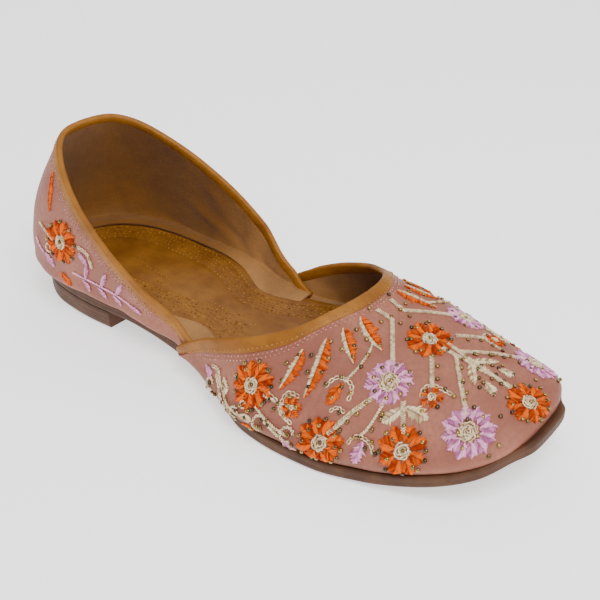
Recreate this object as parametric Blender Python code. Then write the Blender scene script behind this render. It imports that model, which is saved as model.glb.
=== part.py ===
"""Embroidered flat shoe on a straight last, for either foot: leather sole and low heel, closed vamp with a tan band,
separate low-sided quarter with its own band, and a padded insole. Toe towards +Y, sole down, millimetres until the
meshes are made."""

import bpy
import numpy as np

MM = 0.001

# Driving sizes.
LENGTH = 250.0
BALL_WIDTH = 93.0
SOLE_THICKNESS = 5.0
HEEL_HEIGHT = 8.0
HEEL_LENGTH = 54.0
TOE_SPRING = 18.0
INSTEP_HEIGHT = 46.0
BACK_HEIGHT = 73.0
WALL = 1.6
BAND_PROUD = 0.5
BAND_INNER = 0.2
BAND_WIDTH = 5.2
COLLAR_BAND_WIDTH = 4.2
INSOLE_THICKNESS = 3.0
GAP = 0.3

HALF_BALL = BALL_WIDTH / 2
THROAT = 0.645 * LENGTH
VAMP_BACK = 0.392 * LENGTH
QUARTER_FRONT = 0.44 * LENGTH

TOE_FRONT_FAN = 0.76 * LENGTH
SPINE_END = 0.916 * LENGTH
TUCK = WALL + BAND_INNER + BAND_PROUD + 3 * GAP

LEAST_EDGE = 1.3

SMOOTH_ANGLE = np.radians(38)
LEATHER = (0.48, 0.21, 0.16)
TAN = (0.36, 0.19, 0.07)


def table(columns, *rows):
    """A short table: column name -> its values down the rows."""
    return dict(zip(columns.split(), np.array(rows, float).T))


# Outline of the sole: share of the length from the heel back, share of half the ball width.
SOLE_OUTLINE = table(
    "along out",
    (0.000, 0.090),
    (0.012, 0.270),
    (0.045, 0.450),
    (0.100, 0.565),
    (0.180, 0.605),
    (0.270, 0.595),
    (0.355, 0.605),
    (0.430, 0.696),
    (0.500, 0.845),
    (0.570, 0.978),
    (0.630, 1.000),
    (0.700, 0.984),
    (0.780, 0.909),
    (0.860, 0.818),
    (0.920, 0.712),
    (0.953, 0.598),
    (0.970, 0.472),
    (0.978, 0.390),
    (0.987, 0.338),
    (0.996, 0.297),
    (1.000, 0.200),
)

# Where the upper meets the sole: the toe is a plain rounded square, without the sole's tab.
FEATHER = table(
    "along out",
    (0.006, 0.000),
    (0.009, 0.120),
    (0.022, 0.280),
    (0.055, 0.445),
    (0.110, 0.552),
    (0.180, 0.588),
    (0.270, 0.588),
    (0.355, 0.600),
    (0.430, 0.682),
    (0.500, 0.822),
    (0.570, 0.948),
    (0.630, 0.974),
    (0.700, 0.958),
    (0.780, 0.884),
    (0.860, 0.790),
    (0.920, 0.680),
    (0.955, 0.545),
    (0.975, 0.360),
    (0.984, 0.180),
    (0.986, 0.000),
)

# Under side of the sole: rises to the heel behind, to the toe in front. Heel and toe columns are shares of their rise.
SOLE_RISE = table(
    "along heel toe",
    (0.00, 1.00, 0.00),
    (0.25, 1.00, 0.00),
    (0.30, 0.88, 0.00),
    (0.38, 0.45, 0.00),
    (0.46, 0.10, 0.00),
    (0.52, 0.00, 0.00),
    (0.71, 0.00, 0.00),
    (0.78, 0.00, 0.06),
    (0.86, 0.00, 0.28),
    (0.93, 0.00, 0.59),
    (1.00, 0.00, 1.00),
)

# Middle line of the last's top, also behind the throat where the shoe is open. Share of the instep height.
RIDGE = table(
    "along height",
    (0.320, 1.370),
    (0.400, 1.325),
    (0.500, 1.235),
    (0.600, 1.098),
    (0.652, 1.000),
    (0.700, 0.917),
    (0.768, 0.838),
    (0.820, 0.780),
    (0.880, 0.718),
    (0.930, 0.660),
)

# How far the upper bulges out past a plain arc, mm: low down at the waist, and high up over the instep and the toes.
SWELL = table(
    "along low high",
    (0.300, 8.5, 0.0),
    (0.392, 8.0, 0.0),
    (0.420, 4.6, 0.0),
    (0.460, 2.8, -1.0),
    (0.520, 2.0, -5.0),
    (0.580, 1.4, -7.0),
    (0.630, 1.0, -5.0),
    (0.670, 0.6, -1.0),
    (0.740, 0.5, 2.0),
    (0.900, 0.5, 2.0),
    (0.970, 0.0, 0.0),
    (1.000, 0.0, 0.0),
)

# Top edge of the vamp seen from the side, and how steeply the band's width counts there.
TOPLINE = table(
    "along height drop",
    (0.392, 0.298, 0.80),
    (0.416, 0.391, 1.05),
    (0.444, 0.495, 1.14),
    (0.488, 0.611, 1.12),
    (0.552, 0.755, 1.06),
    (0.600, 0.868, 1.00),
    (0.630, 0.970, 0.84),
    (0.645, 1.014, 0.76),
    (0.685, 1.090, 0.70),
)

# Top edge of the quarter from the heel back forwards: share of the way round, then its place and height as shares of
# the length, half the ball width and the back height, how the wall bellies out below it in mm, and the band's drop.
COLLAR = table(
    "way along out height belly drop",
    (0.00, 0.025, 0.000, 1.000, 8.6, 1.00),
    (0.10, 0.030, 0.215, 0.996, 8.8, 1.00),
    (0.20, 0.056, 0.400, 0.955, 8.4, 1.04),
    (0.30, 0.100, 0.545, 0.865, 6.4, 1.10),
    (0.45, 0.175, 0.685, 0.715, 3.6, 1.16),
    (0.62, 0.262, 0.742, 0.545, 2.2, 1.18),
    (0.79, 0.345, 0.725, 0.372, 1.8, 1.20),
    (0.90, 0.394, 0.700, 0.245, 0.6, 1.14),
    (1.00, 0.440, 0.650, 0.133, 0.6, 1.00),
)


def through(knots, values, at):
    """Smooth curve through the rows that never overshoots them, and runs straight on past its ends."""
    knots, values, at = (np.asarray(part, float) for part in (knots, values, at))
    step = np.diff(knots)
    rise = np.diff(values) / step
    slope = np.concatenate([[rise[0]], np.zeros(len(rise) - 1), [rise[-1]]])
    same = rise[1:] * rise[:-1] > 0
    near, far = 2 * step[1:] + step[:-1], step[1:] + 2 * step[:-1]
    slope[1:-1][same] = ((near + far) / (near / np.where(rise[:-1], rise[:-1], 1)
                         + far / np.where(rise[1:], rise[1:], 1)))[same]
    row = np.clip(np.searchsorted(knots, at, side="right") - 1, 0, len(step) - 1)
    part = np.clip((at - knots[row]) / step[row], 0, 1)
    length = step[row]
    curve = (values[row] * (1 + 2 * part) * (1 - part) ** 2 + values[row + 1] * part ** 2 * (3 - 2 * part)
             + length * part * (1 - part) * (slope[row] * (1 - part) - slope[row + 1] * part))
    before, after = np.minimum(at - knots[0], 0), np.maximum(at - knots[-1], 0)
    return curve + before * slope[0] + after * slope[-1]


def column(rows, name, at):
    """A column of a table at places along the shoe, in mm from the heel back."""
    return through(rows["along"], rows[name], np.asarray(at, float) / LENGTH)


def outline(rows, count, inset=0.0):
    """Half outline from heel to toe as (out, along) in mm, moved inwards by the inset."""
    index = np.arange(len(rows["along"]))
    at = np.linspace(0, index[-1], count)
    points = np.stack([through(index, rows["out"], at) * HALF_BALL, through(index, rows["along"], at) * LENGTH], 1)
    ahead = np.gradient(points, axis=0)
    ahead /= np.linalg.norm(ahead, axis=1)[:, None]
    inwards = np.stack([-ahead[:, 1], ahead[:, 0]], 1)
    moved = points + inwards * np.reshape(inset, (-1, 1))
    moved[:, 0] = np.where(points[:, 0] < 1e-6, 0.0, np.maximum(moved[:, 0], 0.0))
    return moved


def sole_bottom(along):
    return HEEL_HEIGHT * column(SOLE_RISE, "heel", along) + TOE_SPRING * column(SOLE_RISE, "toe", along)


def sole_top(along):
    return sole_bottom(along) + SOLE_THICKNESS


def feather_out(along):
    """Half width of the feather line between the heel curve and the toe curve."""
    points = outline(FEATHER, 200)
    return np.interp(along, points[:, 1], points[:, 0])


def ridge_height(along):
    return INSTEP_HEIGHT * column(RIDGE, "height", along)


def edge_height(rows, full, along, below=0.0):
    """Height of a top edge, or of a line that lies the given width below it on the leather."""
    return full * column(rows, "height", along) - below * column(rows, "drop", along)


def swell(along, turn):
    """How far the upper bulges past a plain arc."""
    wave = np.maximum(np.sin(2 * turn), 0)
    low = column(SWELL, "low", along) * wave ** 0.4 * np.cos(turn)
    return low + column(SWELL, "high", along) * wave * np.sin(turn)


def last_point(foot, spine, turn):
    """Points of the last's surface on arcs from the feather line, at turn 0, to the ridge, at turn 90 degrees."""
    out = foot - spine
    plan = spine + out * np.cos(turn)[..., None]
    plan = plan + out / np.linalg.norm(out, axis=-1, keepdims=True) * swell(foot[..., 1] + 0 * turn, turn)[..., None]
    bottom, top = sole_top(foot[..., 1]) + GAP, ridge_height(plan[..., 1])
    return np.dstack([plan, bottom + (top - bottom) * np.sin(turn)])


def last_normals(foot, spine, turn):
    """Outward normals of the last at those points, from small steps along it and up it."""
    step = 0.02
    ahead = [np.gradient(part, axis=0) * step for part in (foot, spine)]
    across = (last_point(foot + ahead[0], spine + ahead[1], turn) - last_point(foot - ahead[0], spine - ahead[1], turn))
    up = last_point(foot, spine, np.minimum(turn + step, np.pi / 2)) - last_point(foot, spine, np.maximum(turn - step, 0))
    found = np.cross(across, up)
    return found / np.linalg.norm(found, axis=-1, keepdims=True)


def turn_at(height, along):
    """The turn at which a section of the last reaches this height."""
    bottom = sole_top(along) + GAP
    return np.arcsin(np.clip((height - bottom) / (ridge_height(along) - bottom), 0, 1))


def grid_normals(grid):
    """Outward normals of a half grid whose rows go up and whose stations go towards the toe."""
    across, up = np.gradient(grid, axis=0), np.gradient(grid, axis=1)
    found = np.cross(across, up)
    middle = grid[..., 0] < 1e-6
    found[..., 0] = np.where(middle, 0.0, found[..., 0])
    size = np.linalg.norm(found, axis=-1, keepdims=True)
    found = found / np.where(size > 1e-9, size, 1)
    return found * np.sign(found[..., 0].sum())


def offset(grid, normals, distance, flat_bottom=False):
    """The grid moved out along its normals, with the middle of the shoe kept on the middle."""
    moved = grid + normals * distance
    moved[..., 0] = np.where(grid[..., 0] < 1e-6, 0.0, moved[..., 0])
    if flat_bottom:
        moved[:, 0, 2] = grid[:, 0, 2]
    return moved


def finish(name, points, faces, colour, roughness):
    """Mirror a half to its whole, join the halves, and give the piece its material."""
    mirrored = points * np.array([-1.0, 1.0, 1.0])
    both = np.concatenate([points, mirrored])
    count = len(points)
    keys, first, index = np.unique(np.round(both, 4), axis=0, return_index=True, return_inverse=True)
    index = index.reshape(-1)
    kept = []
    for side in (0, 1):
        for face in faces:
            loop = [int(index[corner + side * count]) for corner in (face if side == 0 else face[::-1])]
            loop = [corner for place, corner in enumerate(loop) if corner != loop[place - 1]]
            if len(set(loop)) > 2:
                kept.append(loop)
    mesh = bpy.data.meshes.new(name)
    mesh.from_pydata((both[first] * MM).tolist(), [], kept)
    mesh.validate()
    mesh.update()
    piece = bpy.data.objects.new(name, mesh)
    bpy.context.scene.collection.objects.link(piece)
    material = bpy.data.materials.new(name)
    material.use_nodes = True
    shader = material.node_tree.nodes["Principled BSDF"]
    shader.inputs["Base Color"].default_value = (*colour, 1)
    shader.inputs["Roughness"].default_value = roughness
    mesh.materials.append(material)
    mesh.shade_smooth()
    mesh.set_sharp_from_angle(angle=SMOOTH_ANGLE)
    return piece


def walled(name, outer, inner, colour, roughness):
    """A wall between two half grids, closed round its open edges except where it crosses the middle of the shoe."""
    stations, rows = outer.shape[:2]
    size = stations * rows
    number = np.arange(size).reshape(stations, rows)
    faces = []
    for a in range(stations - 1):
        for b in range(rows - 1):
            loop = [number[a, b], number[a + 1, b], number[a + 1, b + 1], number[a, b + 1]]
            faces += [loop, [corner + size for corner in loop[::-1]]]
    border = np.concatenate([number[:, 0], number[-1, 1:], number[-2::-1, -1], number[0, -2:0:-1]])
    flat = outer.reshape(-1, 3)
    for start, end in zip(border, np.roll(border, -1)):
        if flat[start, 0] > 1e-6 or flat[end, 0] > 1e-6:
            faces.append([end, start, start + size, end + size])
    return finish(name, np.concatenate([flat, inner.reshape(-1, 3)]), faces, colour, roughness)


def lofted(name, rings, colour, roughness):
    """A solid through half rings that start and end on the middle of the shoe, with flat ends."""
    stations, rows = rings.shape[:2]
    number = np.arange(stations * rows).reshape(stations, rows)
    faces = [[number[a, b], number[a + 1, b], number[a + 1, b + 1], number[a, b + 1]]
             for a in range(stations - 1) for b in range(rows - 1)]
    faces.append(number[0].tolist())
    faces.append(number[-1][::-1].tolist())
    return finish(name, rings.reshape(-1, 3), faces, colour, roughness)


def slab(points, bottom, top, edge, crown=0.0):
    """Half rings of a sole-like piece. The edge gives (inset, share of thickness) going up the side."""
    rings = []
    middle = [0.0, 0.5]
    for (out, along), low, high in zip(points, bottom, top):
        ring = [(out * share, along, low) for share in middle]
        ring += [(max(out - inset, 0.05 * out), along, low + (high - low) * share) for inset, share in edge]
        lift = crown * min(out / HALF_BALL, 1)
        ring += [(out * share, along, high + lift * (1 - share ** 2)) for share in (0.75, 0.4, 0.0)]
        rings.append(ring)
    return np.array(rings)


def make_outsole():
    points = outline(SOLE_OUTLINE, 61)
    edge = ((0.9, 0.0), (0.0, 0.2), (0.0, 0.82), (0.5, 1.0))
    rings = slab(points, sole_bottom(points[:, 1]), sole_top(points[:, 1]), edge)
    return lofted("outsole", rings, (0.10, 0.052, 0.032), 0.6)


def make_heel():
    points = outline(SOLE_OUTLINE, 121, inset=0.5)
    points = points[points[:, 1] < HEEL_LENGTH - 1]
    last = [np.interp(HEEL_LENGTH, outline(SOLE_OUTLINE, 121)[:, 1], outline(SOLE_OUTLINE, 121)[:, 0]) - 0.5, HEEL_LENGTH]
    points = np.vstack([points, last])
    edge = ((1.4, 0.0), (0.9, 0.12), (0.3, 0.6), (0.0, 1.0))
    top = np.full(len(points), HEEL_HEIGHT - GAP)
    rings = slab(points, np.zeros(len(points)), top, edge)
    return lofted("heel", rings, (0.12, 0.066, 0.042), 0.6)


def make_insole():
    points = outline(FEATHER, 61)
    along = points[:, 1] / LENGTH
    inset = through((0.0, 0.28, 0.36, 0.47, 0.54, 0.9, 1.0), np.array((1.5, 1.6, 4.0, 4.0, 1.7, 1.8, 4.2)), along)
    points = outline(FEATHER, 61, inset + WALL)[1:-1]
    points = points[(points[:, 0] > 2) & (points[:, 1] > 0)]
    bottom = sole_top(points[:, 1]) + GAP
    edge = ((0.6, 0.0), (0.0, 0.25), (0.3, 0.7), (1.6, 1.0))
    rings = slab(points, bottom, bottom + INSOLE_THICKNESS, edge, crown=0.8)
    return lofted("insole", rings, TAN, 0.55)


def crowded(count):
    """Shares from 0 to 1 that lie closer together towards 1."""
    return 1 - (1 - np.linspace(0, 1, count)) ** 1.5


def vamp_stations(edge, first, turn_in):
    """Stations along the feather line from the waist to the middle of the toe, close together round the throat."""
    straight = first + (edge - first) * crowded(20)
    points = outline(FEATHER, 400)
    points = points[np.searchsorted(points[:, 1], turn_in):]
    travel = np.concatenate([[0], np.cumsum(np.linalg.norm(np.diff(points, axis=0), axis=1))])
    at = np.linspace(0, travel[-1], 22)
    toe = np.stack([np.interp(at, travel, points[:, axis]) for axis in (0, 1)], 1)
    middle = np.linspace(edge, turn_in, 9)[1:-1]
    run = np.concatenate([straight, middle])
    foot = np.concatenate([np.stack([feather_out(run), run], 1), toe])
    ease = 1 - (1 - at / travel[-1]) ** 1.5
    spine_along = np.concatenate([run, turn_in + (SPINE_END - turn_in) * ease])
    spine = np.stack([np.zeros(len(foot)), spine_along], 1)
    return foot, spine


def ridge_crossing(below):
    """Where the topline, or a line below it, reaches the ridge."""
    along = np.linspace(THROAT - 2, THROAT + 25, 2000)
    height = edge_height(TOPLINE, INSTEP_HEIGHT, along, below) - ridge_height(along)
    return float(along[np.argmax(height >= 0)])


def vamp_grid(below, rows):
    """Half grid of the last from the feather line to a line below the topline, with its normals."""
    crossing = ridge_crossing(below)
    foot, spine = vamp_stations(crossing, VAMP_BACK, TOE_FRONT_FAN)
    along = foot[:, 1]
    open_part = along < crossing - 1e-6
    height = edge_height(TOPLINE, INSTEP_HEIGHT, along, below)
    height = np.maximum(height, sole_top(along) + GAP + LEAST_EDGE)
    top = np.where(open_part, turn_at(height, along), np.pi / 2)
    turn = top[:, None] * np.linspace(0, 1, rows)[None, :]
    grid = last_point(foot[:, None, :], spine[:, None, :], turn)
    normals = last_normals(foot[:, None, :], spine[:, None, :], turn)
    grid[:, -1, 0] = np.where(open_part, grid[:, -1, 0], 0.0)
    grid[-1, :, 0] = 0.0
    return grid, normals


def make_vamp():
    outer, normals = vamp_grid(BAND_WIDTH, 13)
    return walled("vamp", outer, offset(outer, normals, -WALL, flat_bottom=True), LEATHER, 0.5)


def band_grid(width, rows):
    """Half grid of the strip of the last between the topline and a line below it, with its normals."""
    crossing, lower = ridge_crossing(0), ridge_crossing(width)
    along = np.concatenate([VAMP_BACK + (crossing - VAMP_BACK) * crowded(20),
                            crossing + (lower - crossing) * np.array((0.2, 0.4, 0.6, 0.8, 0.93, 1.0))])
    low = edge_height(TOPLINE, INSTEP_HEIGHT, along, width)
    low = turn_at(np.maximum(low, sole_top(along) + GAP + LEAST_EDGE + 1.5 * GAP), along)
    low[-1] = np.pi / 2
    high = turn_at(edge_height(TOPLINE, INSTEP_HEIGHT, along), along)
    high[along >= crossing - 1e-6] = np.pi / 2
    turn = low[:, None] + (high - low)[:, None] * np.linspace(0, 1, rows)[None, :]
    foot = np.stack([feather_out(along), along], 1)[:, None, :]
    spine = np.stack([np.zeros(len(along)), along], 1)[:, None, :]
    grid = last_point(foot, spine, turn)
    normals = last_normals(foot, spine, turn)
    grid[along >= crossing - 1e-6, -1, 0] = 0.0
    grid[-1, :, 0] = 0.0
    return grid, normals


def make_vamp_binding():
    middle, normals = band_grid(BAND_WIDTH - 1.5 * GAP, 4)
    outer = offset(middle, normals, BAND_PROUD)
    inner = offset(middle, normals, -WALL - BAND_INNER)
    return walled("vamp_binding", outer, inner, TAN, 0.5)


def quarter_grid(lower, upper, rows):
    """Half grid of the quarter between two lines below the collar. The stations go from the heel back forwards."""
    points = outline(FEATHER, 400)
    points = points[points[:, 1] <= QUARTER_FRONT]
    travel = np.concatenate([[0], np.cumsum(np.linalg.norm(np.diff(points, axis=0), axis=1))])
    way = np.linspace(0, 1, 31)
    foot = np.stack([np.interp(way * travel[-1], travel, points[:, axis]) for axis in (0, 1)], 1)
    edge = {name: through(COLLAR["way"], COLLAR[name], way) for name in ("along", "out", "height", "belly", "drop")}
    rim = np.stack([edge["out"] * HALF_BALL, edge["along"] * LENGTH], 1)
    ahead = np.gradient(foot, axis=0)
    ahead /= np.linalg.norm(ahead, axis=1)[:, None]
    out = np.stack([ahead[:, 1], -ahead[:, 0]], 1)
    out[0] = (0.0, -1.0)
    floor = sole_top(foot[:, 1]) + GAP
    collar = BACK_HEIGHT * edge["height"]
    least = floor + LEAST_EDGE
    low = floor if lower is None else np.maximum(collar - lower * edge["drop"], least + 1.5 * GAP)
    high = np.maximum(collar - upper * edge["drop"], least)
    height = low[:, None] + (high - low)[:, None] * np.linspace(0, 1, rows)[None, :]
    up = ((height - floor[:, None]) / (collar - floor)[:, None])[..., None]
    belly = edge["belly"][:, None, None] * 2.6 * np.sqrt(up) * (1 - up)
    plan = foot[:, None, :] + (rim - foot)[:, None, :] * up + out[:, None, :] * belly
    along = plan[..., 1]
    turn = turn_at(height, along)
    inside = feather_out(along) * np.cos(turn) + swell(along, turn) - TUCK
    ease = np.clip((along / LENGTH - 0.31) / 0.08, 0, 1)
    ease = ease ** 2 * (3 - 2 * ease)
    plan[..., 0] = plan[..., 0] * (1 - ease) + inside * ease
    plan[0, :, 0] = 0.0
    return np.dstack([plan, height])


def make_quarter():
    outer = quarter_grid(None, COLLAR_BAND_WIDTH + GAP / 2, 8)
    inner = offset(outer, grid_normals(outer), -WALL, flat_bottom=True)
    return walled("quarter", outer, inner, LEATHER, 0.5)


def make_collar_binding():
    middle = quarter_grid(COLLAR_BAND_WIDTH - GAP / 2, 0.0, 4)
    normals = grid_normals(middle)
    outer = offset(middle, normals, BAND_PROUD)
    inner = offset(middle, normals, -WALL - BAND_INNER)
    return walled("collar_binding", outer, inner, TAN, 0.5)


def centre(pieces):
    """Move everything along the shoe so that the middle of its box is the origin."""
    along = [vertex.co.y for piece in pieces for vertex in piece.data.vertices]
    middle = (min(along) + max(along)) / 2
    for piece in pieces:
        for vertex in piece.data.vertices:
            vertex.co.y -= middle
        piece.data.update()


for old in list(bpy.data.objects):
    bpy.data.objects.remove(old)
centre([
    make_outsole(),
    make_heel(),
    make_insole(),
    make_vamp(),
    make_quarter(),
    make_vamp_binding(),
    make_collar_binding(),
])
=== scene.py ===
"""Looks of the embroidered flat shoe: leather upper and lining, folded bands, stitches, thread embroidery and beads,
padded insole, sole and low heel. The pieces follow the last's own curves, in millimetres from the heel back."""

import math

import bpy
import numpy as np
from mathutils import Matrix, Vector
from mathutils.bvhtree import BVHTree


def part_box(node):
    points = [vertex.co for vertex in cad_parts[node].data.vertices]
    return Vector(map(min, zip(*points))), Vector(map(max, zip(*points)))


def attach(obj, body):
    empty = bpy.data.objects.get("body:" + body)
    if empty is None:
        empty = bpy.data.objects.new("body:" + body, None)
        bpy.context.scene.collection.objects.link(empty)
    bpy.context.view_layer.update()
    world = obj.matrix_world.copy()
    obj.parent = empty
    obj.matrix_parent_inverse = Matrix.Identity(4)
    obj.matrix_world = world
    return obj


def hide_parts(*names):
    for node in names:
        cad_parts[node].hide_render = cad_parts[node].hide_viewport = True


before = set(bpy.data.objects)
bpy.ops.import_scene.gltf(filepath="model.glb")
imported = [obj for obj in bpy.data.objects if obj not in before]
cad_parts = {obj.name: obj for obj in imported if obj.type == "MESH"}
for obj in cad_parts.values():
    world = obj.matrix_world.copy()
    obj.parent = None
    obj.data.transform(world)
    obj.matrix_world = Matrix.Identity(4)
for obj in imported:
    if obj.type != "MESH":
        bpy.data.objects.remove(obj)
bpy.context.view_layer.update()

MM = 0.001

# Driving sizes.
LENGTH = 250.0
BALL_WIDTH = 93.0
SOLE_THICKNESS = 5.0
HEEL_HEIGHT = 8.0
HEEL_LENGTH = 54.0
TOE_SPRING = 18.0
INSTEP_HEIGHT = 46.0
BACK_HEIGHT = 73.0
WALL = 1.6
BAND_PROUD = 0.5
BAND_INNER = 0.2
BAND_WIDTH = 5.2
COLLAR_BAND_WIDTH = 4.2
INSOLE_THICKNESS = 3.0
GAP = 0.3

HALF_BALL = BALL_WIDTH / 2
THROAT = 0.645 * LENGTH
VAMP_BACK = 0.392 * LENGTH
QUARTER_FRONT = 0.44 * LENGTH

TOE_FRONT_FAN = 0.76 * LENGTH
SPINE_END = 0.916 * LENGTH
TUCK = WALL + BAND_INNER + BAND_PROUD + 3 * GAP

LEAST_EDGE = 1.3


def table(columns, *rows):
    """A short table: column name -> its values down the rows."""
    return dict(zip(columns.split(), np.array(rows, float).T))


# Outline of the sole: share of the length from the heel back, share of half the ball width.
SOLE_OUTLINE = table(
    "along out",
    (0.000, 0.090),
    (0.012, 0.270),
    (0.045, 0.450),
    (0.100, 0.565),
    (0.180, 0.605),
    (0.270, 0.595),
    (0.355, 0.605),
    (0.430, 0.696),
    (0.500, 0.845),
    (0.570, 0.978),
    (0.630, 1.000),
    (0.700, 0.984),
    (0.780, 0.909),
    (0.860, 0.818),
    (0.920, 0.712),
    (0.953, 0.598),
    (0.970, 0.472),
    (0.978, 0.390),
    (0.987, 0.338),
    (0.996, 0.297),
    (1.000, 0.200),
)

# Where the upper meets the sole: the toe is a plain rounded square, without the sole's tab.
FEATHER = table(
    "along out",
    (0.006, 0.000),
    (0.009, 0.120),
    (0.022, 0.280),
    (0.055, 0.445),
    (0.110, 0.552),
    (0.180, 0.588),
    (0.270, 0.588),
    (0.355, 0.600),
    (0.430, 0.682),
    (0.500, 0.822),
    (0.570, 0.948),
    (0.630, 0.974),
    (0.700, 0.958),
    (0.780, 0.884),
    (0.860, 0.790),
    (0.920, 0.680),
    (0.955, 0.545),
    (0.975, 0.360),
    (0.984, 0.180),
    (0.986, 0.000),
)

# Under side of the sole: rises to the heel behind, to the toe in front. Heel and toe columns are shares of their rise.
SOLE_RISE = table(
    "along heel toe",
    (0.00, 1.00, 0.00),
    (0.25, 1.00, 0.00),
    (0.30, 0.88, 0.00),
    (0.38, 0.45, 0.00),
    (0.46, 0.10, 0.00),
    (0.52, 0.00, 0.00),
    (0.71, 0.00, 0.00),
    (0.78, 0.00, 0.06),
    (0.86, 0.00, 0.28),
    (0.93, 0.00, 0.59),
    (1.00, 0.00, 1.00),
)

# Middle line of the last's top, also behind the throat where the shoe is open. Share of the instep height.
RIDGE = table(
    "along height",
    (0.320, 1.370),
    (0.400, 1.325),
    (0.500, 1.235),
    (0.600, 1.098),
    (0.652, 1.000),
    (0.700, 0.917),
    (0.768, 0.838),
    (0.820, 0.780),
    (0.880, 0.718),
    (0.930, 0.660),
)

# How far the upper bulges out past a plain arc, mm: low down at the waist, and high up over the instep and the toes.
SWELL = table(
    "along low high",
    (0.300, 8.5, 0.0),
    (0.392, 8.0, 0.0),
    (0.420, 4.6, 0.0),
    (0.460, 2.8, -1.0),
    (0.520, 2.0, -5.0),
    (0.580, 1.4, -7.0),
    (0.630, 1.0, -5.0),
    (0.670, 0.6, -1.0),
    (0.740, 0.5, 2.0),
    (0.900, 0.5, 2.0),
    (0.970, 0.0, 0.0),
    (1.000, 0.0, 0.0),
)

# Top edge of the vamp seen from the side, and how steeply the band's width counts there.
TOPLINE = table(
    "along height drop",
    (0.392, 0.298, 0.80),
    (0.416, 0.391, 1.05),
    (0.444, 0.495, 1.14),
    (0.488, 0.611, 1.12),
    (0.552, 0.755, 1.06),
    (0.600, 0.868, 1.00),
    (0.630, 0.970, 0.84),
    (0.645, 1.014, 0.76),
    (0.685, 1.090, 0.70),
)

# Top edge of the quarter from the heel back forwards: share of the way round, then its place and height as shares of
# the length, half the ball width and the back height, how the wall bellies out below it in mm, and the band's drop.
COLLAR = table(
    "way along out height belly drop",
    (0.00, 0.025, 0.000, 1.000, 8.6, 1.00),
    (0.10, 0.030, 0.215, 0.996, 8.8, 1.00),
    (0.20, 0.056, 0.400, 0.955, 8.4, 1.04),
    (0.30, 0.100, 0.545, 0.865, 6.4, 1.10),
    (0.45, 0.175, 0.685, 0.715, 3.6, 1.16),
    (0.62, 0.262, 0.742, 0.545, 2.2, 1.18),
    (0.79, 0.345, 0.725, 0.372, 1.8, 1.20),
    (0.90, 0.394, 0.700, 0.245, 0.6, 1.14),
    (1.00, 0.440, 0.650, 0.133, 0.6, 1.00),
)


def through(knots, values, at):
    """Smooth curve through the rows that never overshoots them, and runs straight on past its ends."""
    knots, values, at = (np.asarray(part, float) for part in (knots, values, at))
    step = np.diff(knots)
    rise = np.diff(values) / step
    slope = np.concatenate([[rise[0]], np.zeros(len(rise) - 1), [rise[-1]]])
    same = rise[1:] * rise[:-1] > 0
    near, far = 2 * step[1:] + step[:-1], step[1:] + 2 * step[:-1]
    slope[1:-1][same] = ((near + far) / (near / np.where(rise[:-1], rise[:-1], 1)
                         + far / np.where(rise[1:], rise[1:], 1)))[same]
    row = np.clip(np.searchsorted(knots, at, side="right") - 1, 0, len(step) - 1)
    part = np.clip((at - knots[row]) / step[row], 0, 1)
    length = step[row]
    curve = (values[row] * (1 + 2 * part) * (1 - part) ** 2 + values[row + 1] * part ** 2 * (3 - 2 * part)
             + length * part * (1 - part) * (slope[row] * (1 - part) - slope[row + 1] * part))
    before, after = np.minimum(at - knots[0], 0), np.maximum(at - knots[-1], 0)
    return curve + before * slope[0] + after * slope[-1]


def column(rows, name, at):
    """A column of a table at places along the shoe, in mm from the heel back."""
    return through(rows["along"], rows[name], np.asarray(at, float) / LENGTH)


def unit(vectors):
    """Vectors of length one, the same way."""
    return vectors / np.linalg.norm(vectors, axis=-1, keepdims=True)


def travelled(points):
    """How far along a line of points each of them is."""
    return np.concatenate([[0], np.cumsum(np.linalg.norm(np.diff(points, axis=0), axis=1))])


def on_line(at, travel, points):
    """Places on a line of points at these distances along it."""
    return np.stack([np.interp(at, travel, points[:, axis]) for axis in range(points.shape[1])], 1)


def outline(rows, count, inset=0.0):
    """Half outline from heel to toe as (out, along) in mm, moved inwards by the inset."""
    index = np.arange(len(rows["along"]))
    at = np.linspace(0, index[-1], count)
    points = np.stack([through(index, rows["out"], at) * HALF_BALL, through(index, rows["along"], at) * LENGTH], 1)
    ahead = unit(np.gradient(points, axis=0))
    inwards = np.stack([-ahead[:, 1], ahead[:, 0]], 1)
    moved = points + inwards * np.reshape(inset, (-1, 1))
    moved[:, 0] = np.where(points[:, 0] < 1e-6, 0.0, np.maximum(moved[:, 0], 0.0))
    return moved


def sole_bottom(along):
    return HEEL_HEIGHT * column(SOLE_RISE, "heel", along) + TOE_SPRING * column(SOLE_RISE, "toe", along)


def sole_top(along):
    return sole_bottom(along) + SOLE_THICKNESS


def feather_out(along):
    """Half width of the feather line between the heel curve and the toe curve."""
    points = outline(FEATHER, 200)
    return np.interp(along, points[:, 1], points[:, 0])


def ridge_height(along):
    return INSTEP_HEIGHT * column(RIDGE, "height", along)


def edge_height(rows, full, along, below=0.0):
    """Height of a top edge, or of a line that lies the given width below it on the leather."""
    return full * column(rows, "height", along) - below * column(rows, "drop", along)


def swell(along, turn):
    """How far the upper bulges past a plain arc."""
    wave = np.maximum(np.sin(2 * turn), 0)
    low = column(SWELL, "low", along) * wave ** 0.4 * np.cos(turn)
    return low + column(SWELL, "high", along) * wave * np.sin(turn)


def last_point(foot, spine, turn):
    """Points of the last's surface on arcs from the feather line, at turn 0, to the ridge, at turn 90 degrees."""
    out = foot - spine
    plan = spine + out * np.cos(turn)[..., None]
    plan = plan + unit(out) * swell(foot[..., 1] + 0 * turn, turn)[..., None]
    bottom, top = sole_top(foot[..., 1]) + GAP, ridge_height(plan[..., 1])
    return np.dstack([plan, bottom + (top - bottom) * np.sin(turn)])


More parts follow.
